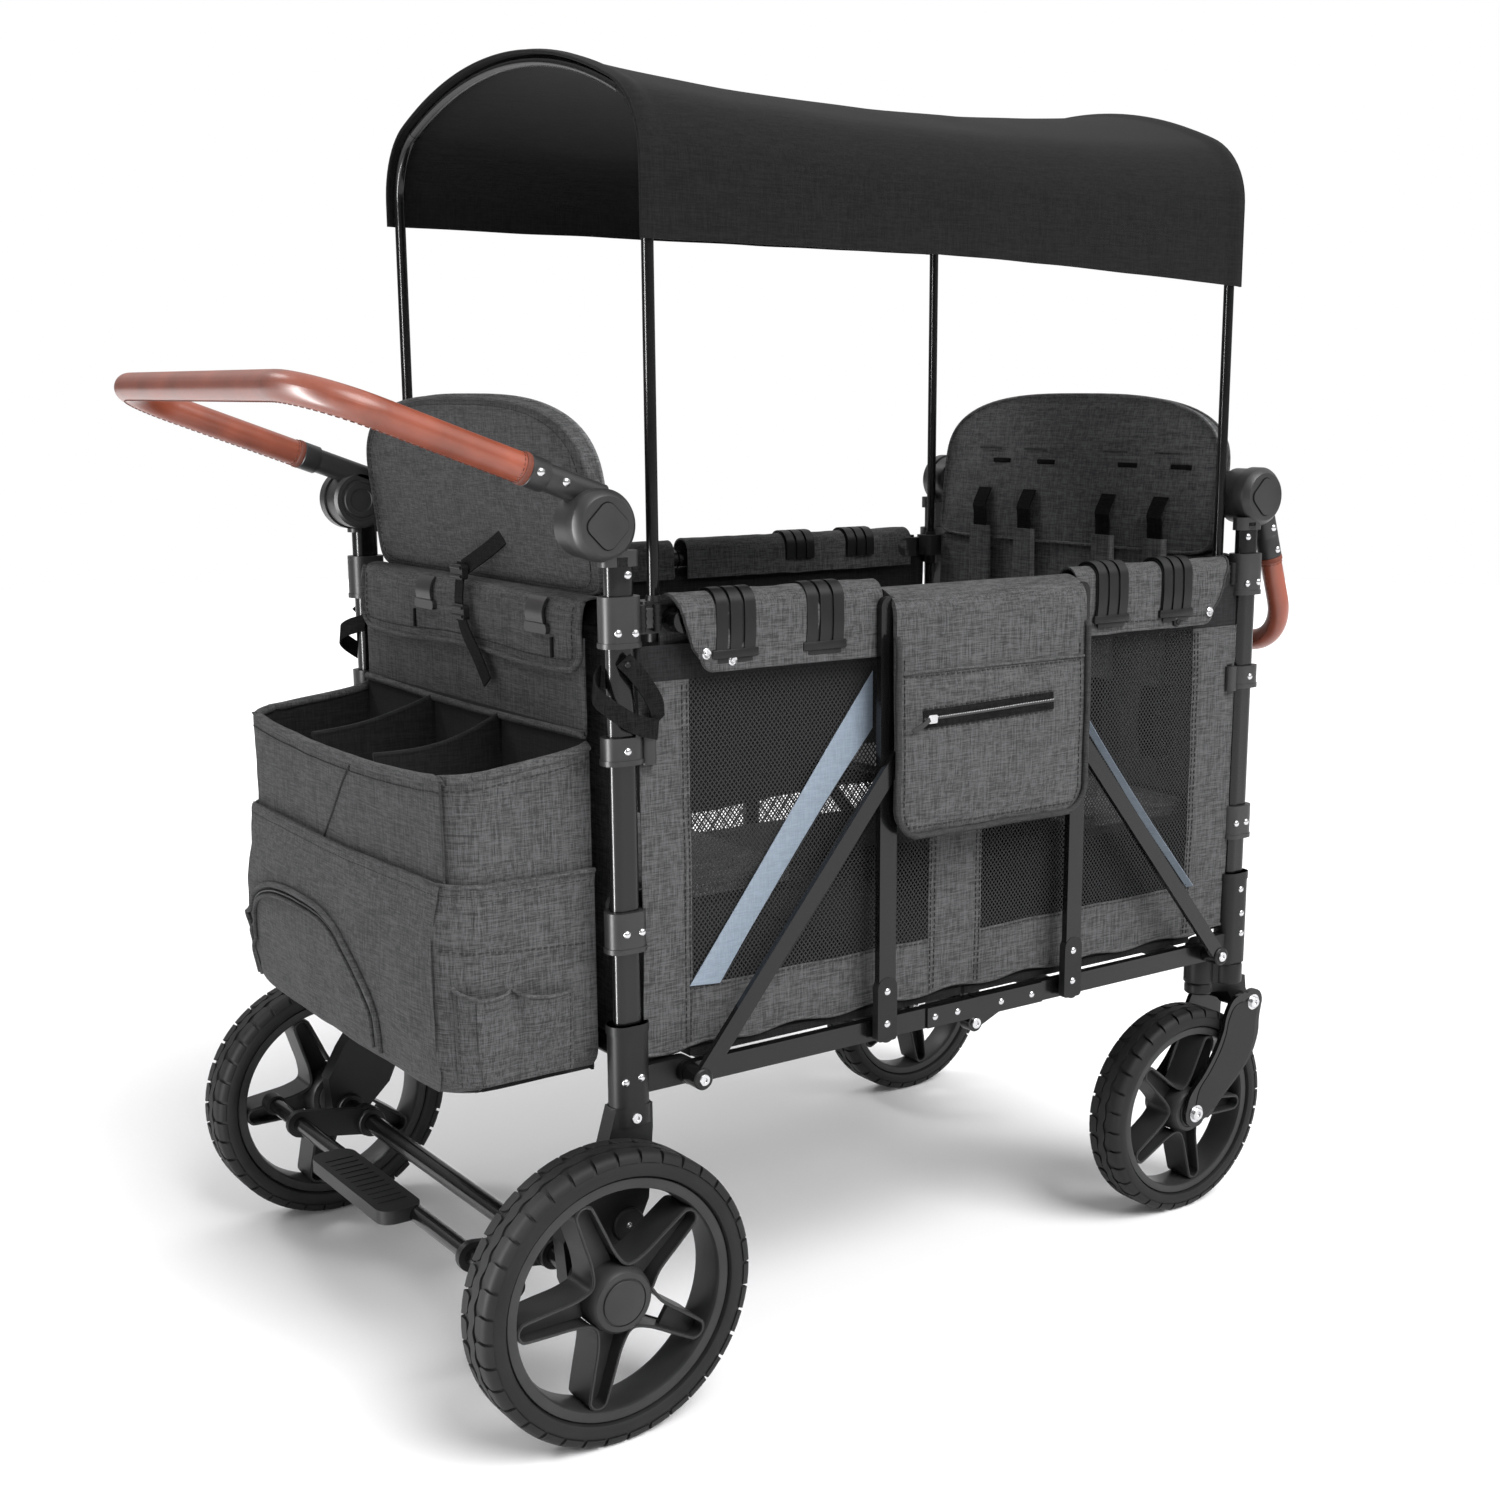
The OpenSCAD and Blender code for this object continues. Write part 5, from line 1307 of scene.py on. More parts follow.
class WAGON_OT_bag(Operator):
    """Sew the organizer bag with its lining, dividers, pocket and zip"""

    bl_idname = "wagon.bag"
    bl_label = "Organizer bag"

    def execute(self, context):
        b = in_mm(context.scene.wagon_bag)
        bag = Piece("organizer_bag_cloth")
        seam_z = b.fold_z - 14
        upper = cloth(120, 26, lambda u, v: bag_wall(b, u, seam_z + (bag_mouth(b, u) - seam_z) * v))
        bag.add(upper, "heather_cloth")

        def lower(u, v):
            if v < 0.7:
                edge = 2.5 * (1 - v / 0.05) if v < 0.05 else 0
                return bag_wall(b, u, b.fold_z + (b.low_z + b.bottom_r - b.fold_z) * v / 0.7, b.layer + edge)
            turn = min((v - 0.7) / 0.14, 1) * math.pi / 2
            spot = bag_wall(b, u, b.low_z + b.bottom_r, b.layer)
            shrink = b.bottom_r * (1 - math.cos(turn)) / 200 + max(v - 0.84, 0) / 0.16 * 0.82
            centre = Vector((b.front_x - 70, 0, 0))
            flat = Vector((spot.x, spot.y, 0)).lerp(centre, min(shrink, 0.97))
            return Vector((min(flat.x, b.front_x), flat.y, b.low_z + b.bottom_r * (1 - math.sin(turn))))

        bag.add(cloth(120, 60, lower), "heather_cloth")
        foot_z = b.low_z + 8
        lining = cloth(100, 24, lambda u, v: bag_wall(b, u, foot_z + (bag_mouth(b, u) - foot_z) * v, -5))
        bmesh.ops.reverse_faces(lining, faces=lining.faces)
        bag.add(lining, "lining_cloth")
        floor_z = b.low_z + b.bottom_r
        floor = block((b.front_x - b.depth + 12, b.front_x), (-b.half_w + 12, b.half_w - 12),
                      (floor_z, floor_z + 5), 2)
        bag.add(floor, "lining_cloth")
        rim = trail(110, lambda at: bag_wall(b, at, bag_mouth(b, at), -2.5))
        bag.add(tube(rim, 5.2, 12), "heather_cloth")
        bag_seams(b, bag)
        bag_dividers(b, bag)
        bag_pocket(b, bag)
        obj = bag.place("rear_frame", "charcoal_cloth", ["organizer_bag"], 50)
        return {"FINISHED"}


def super_outline(half, high, high_power, low_power, steps):
    """Pairs round a shape between an ellipse and a rectangle, with its own power above and below."""
    outline = []
    for i in range(steps):
        turn = math.tau * i / steps
        power = high_power if math.sin(turn) > 0 else low_power
        a = math.copysign(abs(math.cos(turn)) ** (2 / power), math.cos(turn))
        b = math.copysign(abs(math.sin(turn)) ** (2 / power), math.sin(turn))
        outline.append((half * a, high * b))
    return outline


def pad_place(outline, front, back, seam, draw):
    """A function that lays a grid over both faces of a pad and the edge between: out, across and up."""
    count_round = len(outline)

    def place(u, v):
        i = u * count_round
        low = int(i) % count_round
        part = i - int(i)
        a, b = Vector(outline[low]), Vector(outline[(low + 1) % count_round])
        edge = a.lerp(b, part)
        if v < 0.5:
            ring, crown, side = min(v / PAD_FACE, 1), front, 1
        else:
            ring, crown, side = min((1 - v) / PAD_FACE, 1), back, -1
        spread = ring - draw * max(ring - 0.9, 0)
        height = seam / 2 + crown * (1 - ring**3) ** 0.7
        if PAD_FACE < v < 1 - PAD_FACE:
            height = seam / 2 * (0.5 - v) / (0.5 - PAD_FACE) * side
            spread += 0.004
        wave = ripple((edge.x * ring, edge.y * ring, side * 50), 46, 1.3) * (1 - ring**4)
        return side * (height + wave), edge.x * spread, edge.y * spread

    return place


def lean(s, sign, out, y, up):
    """A place on a backrest from its own out, across and up."""
    x = s.wall_x + 2 + up * math.sin(s.rest_lean) + out * math.cos(s.rest_lean)
    z = s.wall_top + 1.5 + up * math.cos(s.rest_lean) - out * math.sin(s.rest_lean)
    return Vector((sign * x, y, z))


def backrest(s, end, sign):
    outline = super_outline(s.rest_half, s.rest_high / 2, 2.9, 14, 96)
    crown = (s.rest_thick - 14) / 2
    shape = pad_place(outline, crown, crown, 14, 0.03)
    pad = Piece(end + "_backrest_pad")

    def place(u, v):
        out, y, up = shape(u, v)
        return lean(s, sign, out, y, up + s.rest_high / 2)

    edge = 1 - PAD_FACE
    outer = cloth(96, 46, lambda u, v: place(u, v * edge), closed=True)
    inner = cloth(96, 40, lambda u, v: place(u, edge + v * PAD_FACE), closed=True)
    for part, finish_name in ((outer, "heather_cloth"), (inner, "seat_cloth")):
        outwards(part, lean(s, sign, 0, 0, s.rest_high / 2))
        pad.add(part, finish_name)
    for out, finish_name in ((7.4, "heather_cloth"), (-7.4, "seat_cloth")):
        line = [lean(s, sign, out, y, up + s.rest_high / 2) for y, up in outline]
        pad.add(tube(line, 2.3, 8, closed=True), finish_name)
    inset = [lean(s, sign, 10.6, y * 0.95, up * 0.93 + s.rest_high / 2) for y, up in outline]
    pad.sew(inset + inset[:1])
    # Dark blocks mark the slots; their darkness is painted shade of the openings
    for y in SLOT_Y:
        spot = lean(s, sign, -s.rest_thick / 2, y, 104)
        slot = block((spot.x - 1.5, spot.x + 1.5), (y - 17, y + 17), (spot.z - 3, spot.z + 3), 1.2)
        pad.add(slot, "webbing")
    obj = pad.place(end + "_frame", "charcoal_cloth", [end + "_backrest"], 45)


def outwards(bm, centre):
    """Points the faces of a half pad away from its middle."""
    bmesh.ops.recalc_face_normals(bm, faces=bm.faces)
    score = sum((f.calc_center_median() - centre).dot(f.normal) * f.calc_area() for f in bm.faces)
    if score < 0:
        bmesh.ops.reverse_faces(bm, faces=bm.faces)


def harness(s, end, sign):
    straps = Piece(end + "_harness")
    for y in HARNESS_Y:
        out = -s.rest_thick / 2 - 2.5
        # A strip of the darker heather cloth marks each slit, painted shade of the opening
        slit_shade_strip = [lean(s, sign, out + 1.5, y + step, 120) for step in (-22, 0, 22)]
        straps.add(strap(slit_shade_strip, Z_AXIS, 2.5, 1.0, 8), "heather_cloth")
        top = lean(s, sign, out, y, 66)
        middle = Vector((sign * (s.wall_x - 13), y, 846))
        foot = Vector((sign * (s.wall_x - 12), y, 560))
        web = strap([top, top.lerp(middle, 0.6) + Vector((-sign * 3, 3, 0)), middle,
                     middle.lerp(foot, 0.4)], Y_AXIS, 25, 1.6, 24)
        straps.add(web, "webbing")
        low_x = sorted((sign * (s.wall_x - 18), sign * (s.wall_x - 8)))
        pad = bar(low_x, (y - s.strap_w / 2, y + s.strap_w / 2), (650, 834), 4, 3, 2, 4)
        for vert in pad.verts:
            if vert.co.z > 812:
                vert.co.y = y + (vert.co.y - y) * 0.8
        straps.add(pad, "seat_cloth")
        tail = strap([(sign * (s.wall_x - 11), y, 655), (sign * (s.wall_x - 14), y + 4, 600), foot],
                     Y_AXIS, 25, 1.6, 16)
        straps.add(tail, "webbing")
    straps.place(end + "_frame", "black_cloth")


class WAGON_OT_backrests(Operator):
    """Pad the two backrests and hang the harness straps"""

    bl_idname = "wagon.backrests"
    bl_label = "Backrests"

    def execute(self, context):
        s = in_mm(context.scene.wagon_seats)
        for end, sign in ENDS:
            backrest(s, end, sign)
            harness(s, end, sign)
        return {"FINISHED"}


class WAGON_OT_bench_pads(Operator):
    """Pad the two benches"""

    bl_idname = "wagon.bench_pads"
    bl_label = "Bench pads"

    def execute(self, context):
        s = in_mm(context.scene.wagon_seats)
        for end, sign in ENDS:
            middle = sign * (s.pad_rear + s.pad_front) / 2
            outline = super_outline((s.pad_rear - s.pad_front) / 2, s.pad_half, 9, 9, 128)
            crown = s.pad_top - s.pad_low - 12
            shape = pad_place(outline, crown, 0.2, 11, 0.02)

            def place(u, v):
                out, x, y = shape(u, v)
                sewn = 3.2 * math.exp(-((y / 5) ** 2)) if v < 0.4 else 0
                return Vector((middle + x, y, s.pad_low + 5.8 + out - sewn))

            pad = Piece(end + "_bench_cushion")
            body = cloth(128, 70, place, closed=True)
            bmesh.ops.recalc_face_normals(body, faces=body.faces)
            pad.add(body, "seat_cloth")
            for lift in (5.4, -5.0):
                line = [Vector((middle + x, y, s.pad_low + 5.8 + lift)) for x, y in outline]
                pad.add(tube(line, 2.0, 8, closed=True), "seat_cloth")
            obj = pad.place(end + "_seat", "charcoal_cloth", [end + "_bench_pad"], 45)
        return {"FINISHED"}


def on_wall(s, sign, u, v, shift):
    """A place on the wall, from the near side to the far side and from the foot to the top."""
    y = -s.wall_half + 2 * s.wall_half * u
    z = s.wall_low + (s.wall_top - s.wall_low) * v
    wave = ripple((sign * 60, y, z), 90, 1.6) + ripple((sign * 60, y, z), 34, 0.7)
    return Vector((sign * (s.wall_x + shift + wave), y, z))


def lining_foot(s, sign, u, v):
    """A place on the lining where it turns in over the floor."""
    y = (2 * u - 1) * (s.wall_half + 32)
    return Vector((sign * (s.wall_x - 1 - 64 * v), y,
                   s.wall_low + 2 - 2 * v + ripple((sign * 60, y, v * 40), 40, 1.2)))


def flap_way(s):
    """The way of the flap over the cross tube, as pairs out and up."""
    return [(s.wall_x, s.wall_top - 6), (s.wall_x + 4, s.wall_top), (s.wall_x + 17, s.wall_top + 3),
            (s.flap_x - 5, s.wall_top), (s.flap_x, s.wall_top - 10), (s.flap_x + 1.5, s.wall_top - 35),
            (s.flap_x + 1, s.flap_low)]


def on_flap(s, sign, u, v, proud=0.0):
    """A place on the flap, from the near side to the far side and from the wall down to the flap's hem."""
    spot = along([(x, 0, z) for x, z in flap_way(s)])(v)
    half = s.wall_half - 2
    corner = 24
    rise = spot.z - s.flap_low
    if v > 0.5 and rise < corner:
        half -= corner - math.sqrt(max(corner**2 - (corner - rise) ** 2, 0))
    y = (2 * u - 1) * half
    wave = ripple((sign * 20, y, spot.z), 42, 2.2) + ripple((sign * 20, y, spot.z), 18, 0.6)
    droop = 3 * math.sin(3 * math.pi * u) * v
    return Vector((sign * (spot.x + (wave if v > 0.35 else wave * 0.3) + proud), y, spot.z - droop))


def wall_flap(s, wall, sign):
    wall.add(cloth(70, 34, lambda u, v: on_flap(s, sign, u, v), 1.8), "heather_cloth")
    edge = trail(30, lambda at: on_flap(s, sign, 0, 0.35 + 0.64 * at, 0.6))
    edge += trail(60, lambda at: on_flap(s, sign, at, 0.995, 0.6))
    edge += trail(30, lambda at: on_flap(s, sign, 1, 0.99 - 0.64 * at, 0.6))
    wall.add(tube(edge, 3.0, 8), "heather_cloth")
    row = [on_flap(s, sign, 0.025, 0.4 + 0.5 * i / 30, 1.4) for i in range(30)]
    row += trail(60, lambda at: on_flap(s, sign, 0.025 + 0.95 * at, 0.9, 1.4))
    row += [on_flap(s, sign, 0.975, 0.9 - 0.5 * i / 30, 1.4) for i in range(1, 30)]
    wall.sew(row)


def flap_hooks(s, trim, sign):
    for u in (0.34, 0.84):
        tongue = trail(8, lambda at: on_flap(s, sign, 1 - u, 0.36 + 0.24 * at,
                                             1.6 + 2.4 * math.sin(math.pi * at)))
        trim.add(strap(tongue, Y_AXIS, 36, 2.4, 16), "moulding")
        spot = on_flap(s, sign, 1 - u, 0.64, 2)
        x = sorted((spot.x - sign * 2, spot.x + sign * 3))
        trim.add(bar(x, (spot.y - 25, spot.y + 21), (spot.z - 5, spot.z + 5), 4, 1.2, 0), "moulding")
    for u in (0.1, 0.72):
        spot = on_flap(s, sign, u, 0.8, 1.2)
        x = sorted((spot.x - sign * 1, spot.x + sign * 1.4))
        trim.add(bar(x, (spot.y - 1.6, spot.y + 1.6), (spot.z - 10, spot.z + 10), 1, 0.4, 0), "webbing")


def buckle_strap(s, trim, sign):
    out = s.flap_x + 6
    top = [(s.wall_x + 17, 66, 866), (s.wall_x + 26, 44, 850), (out, 22, 832)]
    drop = [(out + 1, 19, 838), (out + 4, 16, 800), (out + 3, 17, 776)]
    tail = [(out + 3, 14, 792), (out + 5, 30, 768), (out + 3, 52, 742), (out, 68, 716)]
    for path, across in ((top, (0, 0.6, sign * -0.8)), (drop, Y_AXIS), (tail, (0, 0.8, sign * 0.6))):
        placed = [(sign * x, sign * y, z) for x, y, z in path]
        trim.add(strap(placed, across, 18, 1.8, 24), "webbing")
    for z in (828, 786):
        y = sign * 18
        x = sorted((sign * (out + 1), sign * (out + 8)))
        trim.add(bar(x, (y - 14, y + 14), (z - 8, z + 8), 4, 1.5, 0), "cast_alloy")
        for step in (-4.5, 4.5):
            rung = bar(sorted((sign * (out + 6), sign * (out + 10))), (y - 12, y + 12),
                       (z + step - 1.6, z + step + 1.6), 1.2, 0.6, 1)
            trim.add(rung, "cast_alloy")


def post_loops(trim, sign):
    """Two straps that hang beside each post, the first one riveted."""
    first = ((440, 311.5, 764), (425, 313, 748), (405, 310.5, 720), (398, 303.5, 700))
    second = ((447, 276, 746), (462, 290, 740), (467, 302, 731), (455, 311.5, 718), (430, 313, 702),
              (405, 309.5, 694), (396, 300, 692))
    for side in (-1, 1):
        straps = ((first, (0.8, 0, 0.6), 18, 30), (second, (0.12, 0, 1), 20, 50))
        for path, across, width, steps in straps:
            placed = [(sign * x, side * y, z) for x, y, z in path]
            trim.add(strap(placed, across, width, 1.8, steps), "webbing")
        trim.add(rivet(sign * 436, side * 312.5, 759, 3.2, 1.6, (0, side, 0)), "cast_alloy")


class WAGON_OT_walls(Operator):
    """Hang the end walls with their flaps, hooks, buckled strap and loops"""

    bl_idname = "wagon.walls"
    bl_label = "End walls"

    def execute(self, context):
        s = in_mm(context.scene.wagon_seats)
        for end, sign in ENDS:
            wall = Piece(end + "_wall_cloth")
            wall.add(cloth(50, 44, lambda u, v: on_wall(s, sign, u, v, 1.2), 1.0), "heather_cloth")
            wall_flap(s, wall, sign)
            obj = wall.place(end + "_frame", "charcoal_cloth", [end + "_wall"], 45)
            inside = Piece(end + "_wall_lining")
            inside.add(cloth(50, 44, lambda u, v: on_wall(s, sign, u, v, -0.8), 1.0), "seat_cloth")
            inside.add(cloth(40, 8, lambda u, v: lining_foot(s, sign, u, v), 1.0), "lining_cloth")
            obj = inside.place(end + "_frame", "black_cloth", (), 45)
            trim = Piece(end + "_wall_trim")
            flap_hooks(s, trim, sign)
            buckle_strap(s, trim, sign)
            if sign < 0:
                post_loops(trim, sign)
            trim.place(end + "_frame", "black_cloth")
        return {"FINISHED"}


class WagonWheels(PropertyGroup):
    """Sizes of the wheels"""

    rear_x: length("Rear axle", "Rear axle from the tub's middle", -494)
    rear_y: length("Rear wheel place", "Rear wheels from the middle plane", 352)
    rear_r: length("Rear radius", "Outer radius of the rear tyres", 150)
    rear_half: length("Rear half width", "Half the width of the rear tyres", 27)
    rear_hub: length("Rear hub", "Radius of the rear hubs", 31.5)
    rear_hub_half: length("Rear hub half width", "Half the width of the rear hubs", 29)
    rear_spoke: angle("Rear spoke turn", "Turn of the first rear spoke", 39)
    rear_lugs: count("Rear lugs", "Tread lugs on each side of a rear tyre", 36)
    front_x: length("Front axle", "Front axles from the tub's middle", 372)
    front_y: length("Front wheel place", "Front wheels from the middle plane", 275)
    front_r: length("Front radius", "Outer radius of the front tyres", 130)
    front_half: length("Front half width", "Half the width of the front tyres", 25)
    front_hub: length("Front hub", "Radius of the front hubs", 26)
    front_hub_half: length("Front hub half width", "Half the width of the front hubs", 28)
    front_spoke: angle("Front spoke turn", "Turn of the first front spoke", 66)
    front_lugs: count("Front lugs", "Tread lugs on each side of a front tyre", 32)
    spokes: count("Spokes", "Spokes of each wheel", 5)


def moved(bm, matrix):
    """Moves a shape and keeps its faces outwards if the move mirrors it."""
    bm.transform(matrix)
    if matrix.determinant() < 0:
        bmesh.ops.reverse_faces(bm, faces=bm.faces)
    return bm


def tyre_parts(size):
    """A tyre's body, its lugs and the rib round its middle, about the axle."""
    r, half = size.r, size.half
    crown = [(0.984 * r, 0), (0.982 * r, 0.45 * half), (0.973 * r, 0.72 * half), (0.951 * r, 0.89 * half),
             (0.92 * r, 0.975 * half), (0.885 * r, half), (0.856 * r, 0.99 * half),
             (0.841 * r, 0.95 * half), (0.8375 * r, 0.9 * half), (0.832 * r, 0.8 * half)]
    section = [(radius, -out) for radius, out in reversed(crown)] + crown[1:]
    section.append(section[0])
    parts = [turned(section, (0, 0, 0), Y_AXIS, 96)]
    step = math.tau / size.lugs
    for i in range(size.lugs):
        parts.append(tread_lug(size, i * step, 1, step))
        parts.append(tread_lug(size, (i + 0.5) * step, -1, step))

    def rib(u, v):
        turn = math.tau * u
        wide = half * (0.2 + 0.05 * math.sin(size.lugs * turn))
        sway = half * 0.05 * math.cos(size.lugs * turn)
        return Vector(((r - 0.2) * math.cos(turn), (2 * v - 1) * wide + sway, (r - 0.2) * math.sin(turn)))

    parts.append(cloth(size.lugs * 6, 2, rib, -3, closed=True))
    return parts


def tread_lug(size, turn, side, step):
    """A tread lug from near the middle over the shoulder."""
    r, half = size.r, size.half

    def place(u, v):
        reach = (0.32 + 0.93 * v) * half
        bend = min(max(reach - 0.72 * half, 0) / (0.34 * half), 1.57)
        across = min(reach, 0.72 * half) + 0.275 * half * math.sin(bend)
        radius = r - 0.004 * r * reach / half - 0.34 * half * (1 - math.cos(bend))
        wide = step * (0.43 if v > 0.2 else 0.3 + 0.65 * v)
        swing = turn + (u - 0.5) * 2 * wide + 0.12 * step * v
        return Vector((radius * math.cos(swing), side * across, radius * math.sin(swing)))

    bm = cloth(2, 7, place)
    bmesh.ops.recalc_face_normals(bm, faces=bm.faces)
    outward = sum(f.normal.dot(Vector((f.calc_center_median().x, 0, f.calc_center_median().z)))
                  for f in bm.faces)
    if outward < 0:
        bmesh.ops.reverse_faces(bm, faces=bm.faces)
    thicken(bm, 4)
    return bm


def spoke_sizes(size):
    """Half widths of a spoke at its root and its tip, and the reach of its tip from the axle."""
    return 0.43 * size.hub, 0.062 * size.r, 0.738 * size.r


def spoke_star(size):
    """The way round all the spokes: out to each round tip and back to the hub."""
    root, tip, reach = spoke_sizes(size)
    points = []
    for i in range(size.spokes):
        turn = size.spoke + math.tau * i / size.spokes
        ahead = Vector((math.cos(turn), 0, math.sin(turn)))
        side = Vector((-math.sin(turn), 0, math.cos(turn)))
        between = turn - math.pi / size.spokes
        points.append(Vector((math.cos(between), 0, math.sin(between))) * size.hub * 1.13)
        points.append(ahead * size.hub * 1.5 - side * root)
        points.append(ahead * size.r * 0.5 - side * (root * 0.45 + tip * 0.55))
        for k in range(7):
            swing = math.radians(-90 + 30 * k)
            points.append(ahead * (reach - tip + tip * math.cos(swing)) + side * tip * math.sin(swing))
        points.append(ahead * size.r * 0.5 + side * (root * 0.45 + tip * 0.55))
        points.append(ahead * size.hub * 1.5 + side * root)
    return points + points[:1]


def both_faces(profile):
    """A lathe profile from one face to the middle, carried on to the other face."""
    return profile + [(radius, -height) for radius, height in reversed(profile[:-1])]


def rim_parts(size):
    """A rim's lip, its hub and the walls and floors of its spokes, about the axle."""
    r, half, hub, out = size.r, size.half - 4, size.hub, size.hub_half
    lip = [(0.828 * r, half - 2), (0.82 * r, half - 0.4), (0.775 * r, half), (0.757 * r, half - 0.6),
           (0.75 * r, half - 2.4), (0.745 * r, half - 6), (0.735 * r, 0)]
    section = both_faces(lip)
    parts = [turned(section + section[:1], (0, 0, 0), Y_AXIS, 96)]
    cap = [(0, out), (0.68 * hub, out), (0.71 * hub, out - 0.6), (0.71 * hub, out - 2.4),
           (0.765 * hub, out - 2.4), (0.78 * hub, out - 1.2), (0.95 * hub, out - 2),
           (1.04 * hub, out - 5), (1.1 * hub, out * 0.55), (1.12 * hub, 0)]
    parts.append(turned(both_faces(cap), (0, 0, 0), Y_AXIS, 48))
    way = along(spoke_star(size))
    steps = 60 * size.spokes
    edge = Y_AXIS * (half - 3)
    parts.append(cloth(steps, 1, lambda u, v: way(u) + edge * (2 * v - 1), 2.0, closed=True))
    for side in (-1, 1):
        line = trail(steps, lambda at: way(at) + edge * side)[:-1]
        parts.append(tube(line, 1.35, 8, closed=True))
    root, tip, reach = spoke_sizes(size)
    for i in range(size.spokes):
        start = 0.47 * r if i == size.spokes - 1 else hub * 0.8
        part = start / r
        wide = root + (tip - root) * max(part - 0.2, 0) / 0.5
        outline = [(start, -wide), (reach - tip, -tip), *arc((reach - tip, 0), tip, -60, 60, 4),
                   (reach - tip, tip), (start, wide)]
        floor = plate(outline, -3, 3, 1, 0)
        parts.append(moved(floor, Matrix.Rotation(-size.spoke - math.tau * i / size.spokes, 4, "Y")))
    return parts


class WAGON_OT_wheels(Operator):
    """Turn the tyres with their tread and the rims with their channelled spokes"""

    bl_idname = "wagon.wheels"
    bl_label = "Wheels"

    def execute(self, context):
        w = in_mm(context.scene.wagon_wheels)
        for end in ("rear", "front"):
            own = {k: getattr(w, end + "_" + k)
                   for k in ("x", "y", "r", "half", "hub", "hub_half", "spoke", "lugs")}
            size = SimpleNamespace(spokes=w.spokes, **own)
            for side, sign in SIDES:
                spot = Matrix.Translation((size.x, sign * size.y, size.r))
                body = end + "_wheel_" + side
                tyre = Piece(end + "_tyre_tread_" + side)
                for part in tyre_parts(size):
                    tyre.add(moved(part, spot), "rubber")
                tyre.place(body, "tyre", [end + "_tyre_" + side])
                rim = Piece(end + "_spoked_rim_" + side)
                for part in rim_parts(size):
                    rim.add(moved(part, spot), "rim_plastic")
                rim.place(body, "rim", [end + "_rim_" + side], 38)
        return {"FINISHED"}


class WagonHandles(PropertyGroup):
    """Sizes of the handles and their hubs"""

    hub_x: length("Hub place", "Hubs from the tub's middle", 452)
    hub_z: length("Hub height", "Height of the hubs", 890)
    hub_r: length("Hub radius", "Radius of the fixed hub discs", 34.5)
    turning_r: length("Turning hub radius", "Radius of the turning hubs", 32.5)
    offset: length("Arm offset", "Arms from the hub's centre", 27)
    arm_y: length("Arm place", "Arms from the middle plane", 272)
    arm_half: length("Arm half width", "Half the width of the arms", 13.5)
    arm_length: length("Arm length", "Moulded arms from the hub's centre", 62)
    rear_up: angle("Rear handle rise", "Rise of the rear handle at rest", 20)
    front_down: angle("Front handle fall", "Fall of the front handle at rest", 72)
    rear_length: length("Rear handle", "Length of the rear handle", 300)
    front_length: length("Front handle", "Length of the front handle", 205)
    rear_bend: length("Rear bend", "Radius of the rear grip's bends", 70)
    front_bend: length("Front bend", "Radius of the front grip's bends", 60)
    rear_grip: length("Rear grip radius", "Radius of the rear leather grip", 14.5)
    front_grip: length("Front grip radius", "Radius of the front leather grip", 13)
    button: length("Button side", "Side of the lozenge buttons", 36)
    button_corner: length("Button corner", "Corner radius of the buttons", 9)


def lozenge(x, z, half, corner):
    """The outline of a square with round corners that stands on one of them."""
    turn = math.sqrt(0.5)
    square = rounded_outline((-half, half), (-half, half), (corner,) * 4, 8)
    return [(x + (a - b) * turn, z + (a + b) * turn) for a, b in square]


def make_handle(h, end, place, reach, bend, grip, rivets, leather):
    arms = Piece(end + "_handle_mouldings")
    low, high = h.arm_y - h.arm_half, h.arm_y + h.arm_half
    r = h.turning_r
    barrel = [(0, 27), (r - 1.5, 27), (r, 25.5), (r, 3), (r - 3, 0), (r - 8, 0), (r - 9, 1.4),
              (r - 12, 1.4), (r - 13, 0), (r - 19, 0), (r - 20, 1.6), (0, 1.6)]
    start = h.arm_length - 2
    long = leather - start
    sleeve = [(0, 0), (grip + 0.6, 0), (grip + 1.2, 1), (grip + 1.2, long - 1), (grip + 0.5, long), (0, long)]

    def add(shape, finish_name="moulding"):
        arms.add(moved(shape, place), finish_name, both=True)

    add(turned(barrel, (0, low, 0), Y_AXIS, 56))
    up = (h.offset - h.arm_half, h.offset + h.arm_half)
    add(bar((-4, h.arm_length), (low, high), up, 11.5, 1.5, 0, 8))
    add(turned(sleeve, (start, h.arm_y, h.offset), X_AXIS, 32))
    for u in rivets:
        face = high if u < h.arm_length else h.arm_y + grip + 1.0
        add(rivet(u, face, h.offset + 1, 4.2, 2.0), "steel")
    arms.place(end + "_handle", "fitting", [end + "_handle_arms"])
    trim = Piece(end + "_grip_trim")
    ring = [(grip - 1, 0), (grip + 0.9, 0), (grip + 1.5, 1), (grip + 1.5, 5), (grip + 0.9, 6),
            (grip - 1, 6), (grip - 1, 0)]
    trim.add(moved(turned(ring, (leather, h.arm_y, h.offset), X_AXIS, 32), place), "leather_thread",
             both=True)
    around = arc((h.arm_y, h.offset), grip + 0.2, 0, 360, 32)
    round_stitch = [(leather + 8.5, y, z) for y, z in around]
    trim.add(moved(stitches(round_stitch, 3, 2, 0.9), place), "leather_thread", both=True)
    half = trail(12, lambda at: (leather + 8 + (reach - bend - leather - 8) * at, h.arm_y))
    half += arc((reach - bend, h.arm_y - bend), bend, 90, 0, 12)[1:]
    half += [(reach, (h.arm_y - bend) * (1 - i / 12)) for i in range(1, 13)]
    whole = half + [(u, -y) for u, y in reversed(half[:-1])]
    seam = [(u, y, h.offset - grip - 0.25) for u, y in whole]
    trim.add(moved(stitches(seam, 4, 2.6, 1.0), place), "leather_thread")
    trim.place(end + "_handle", "grip")


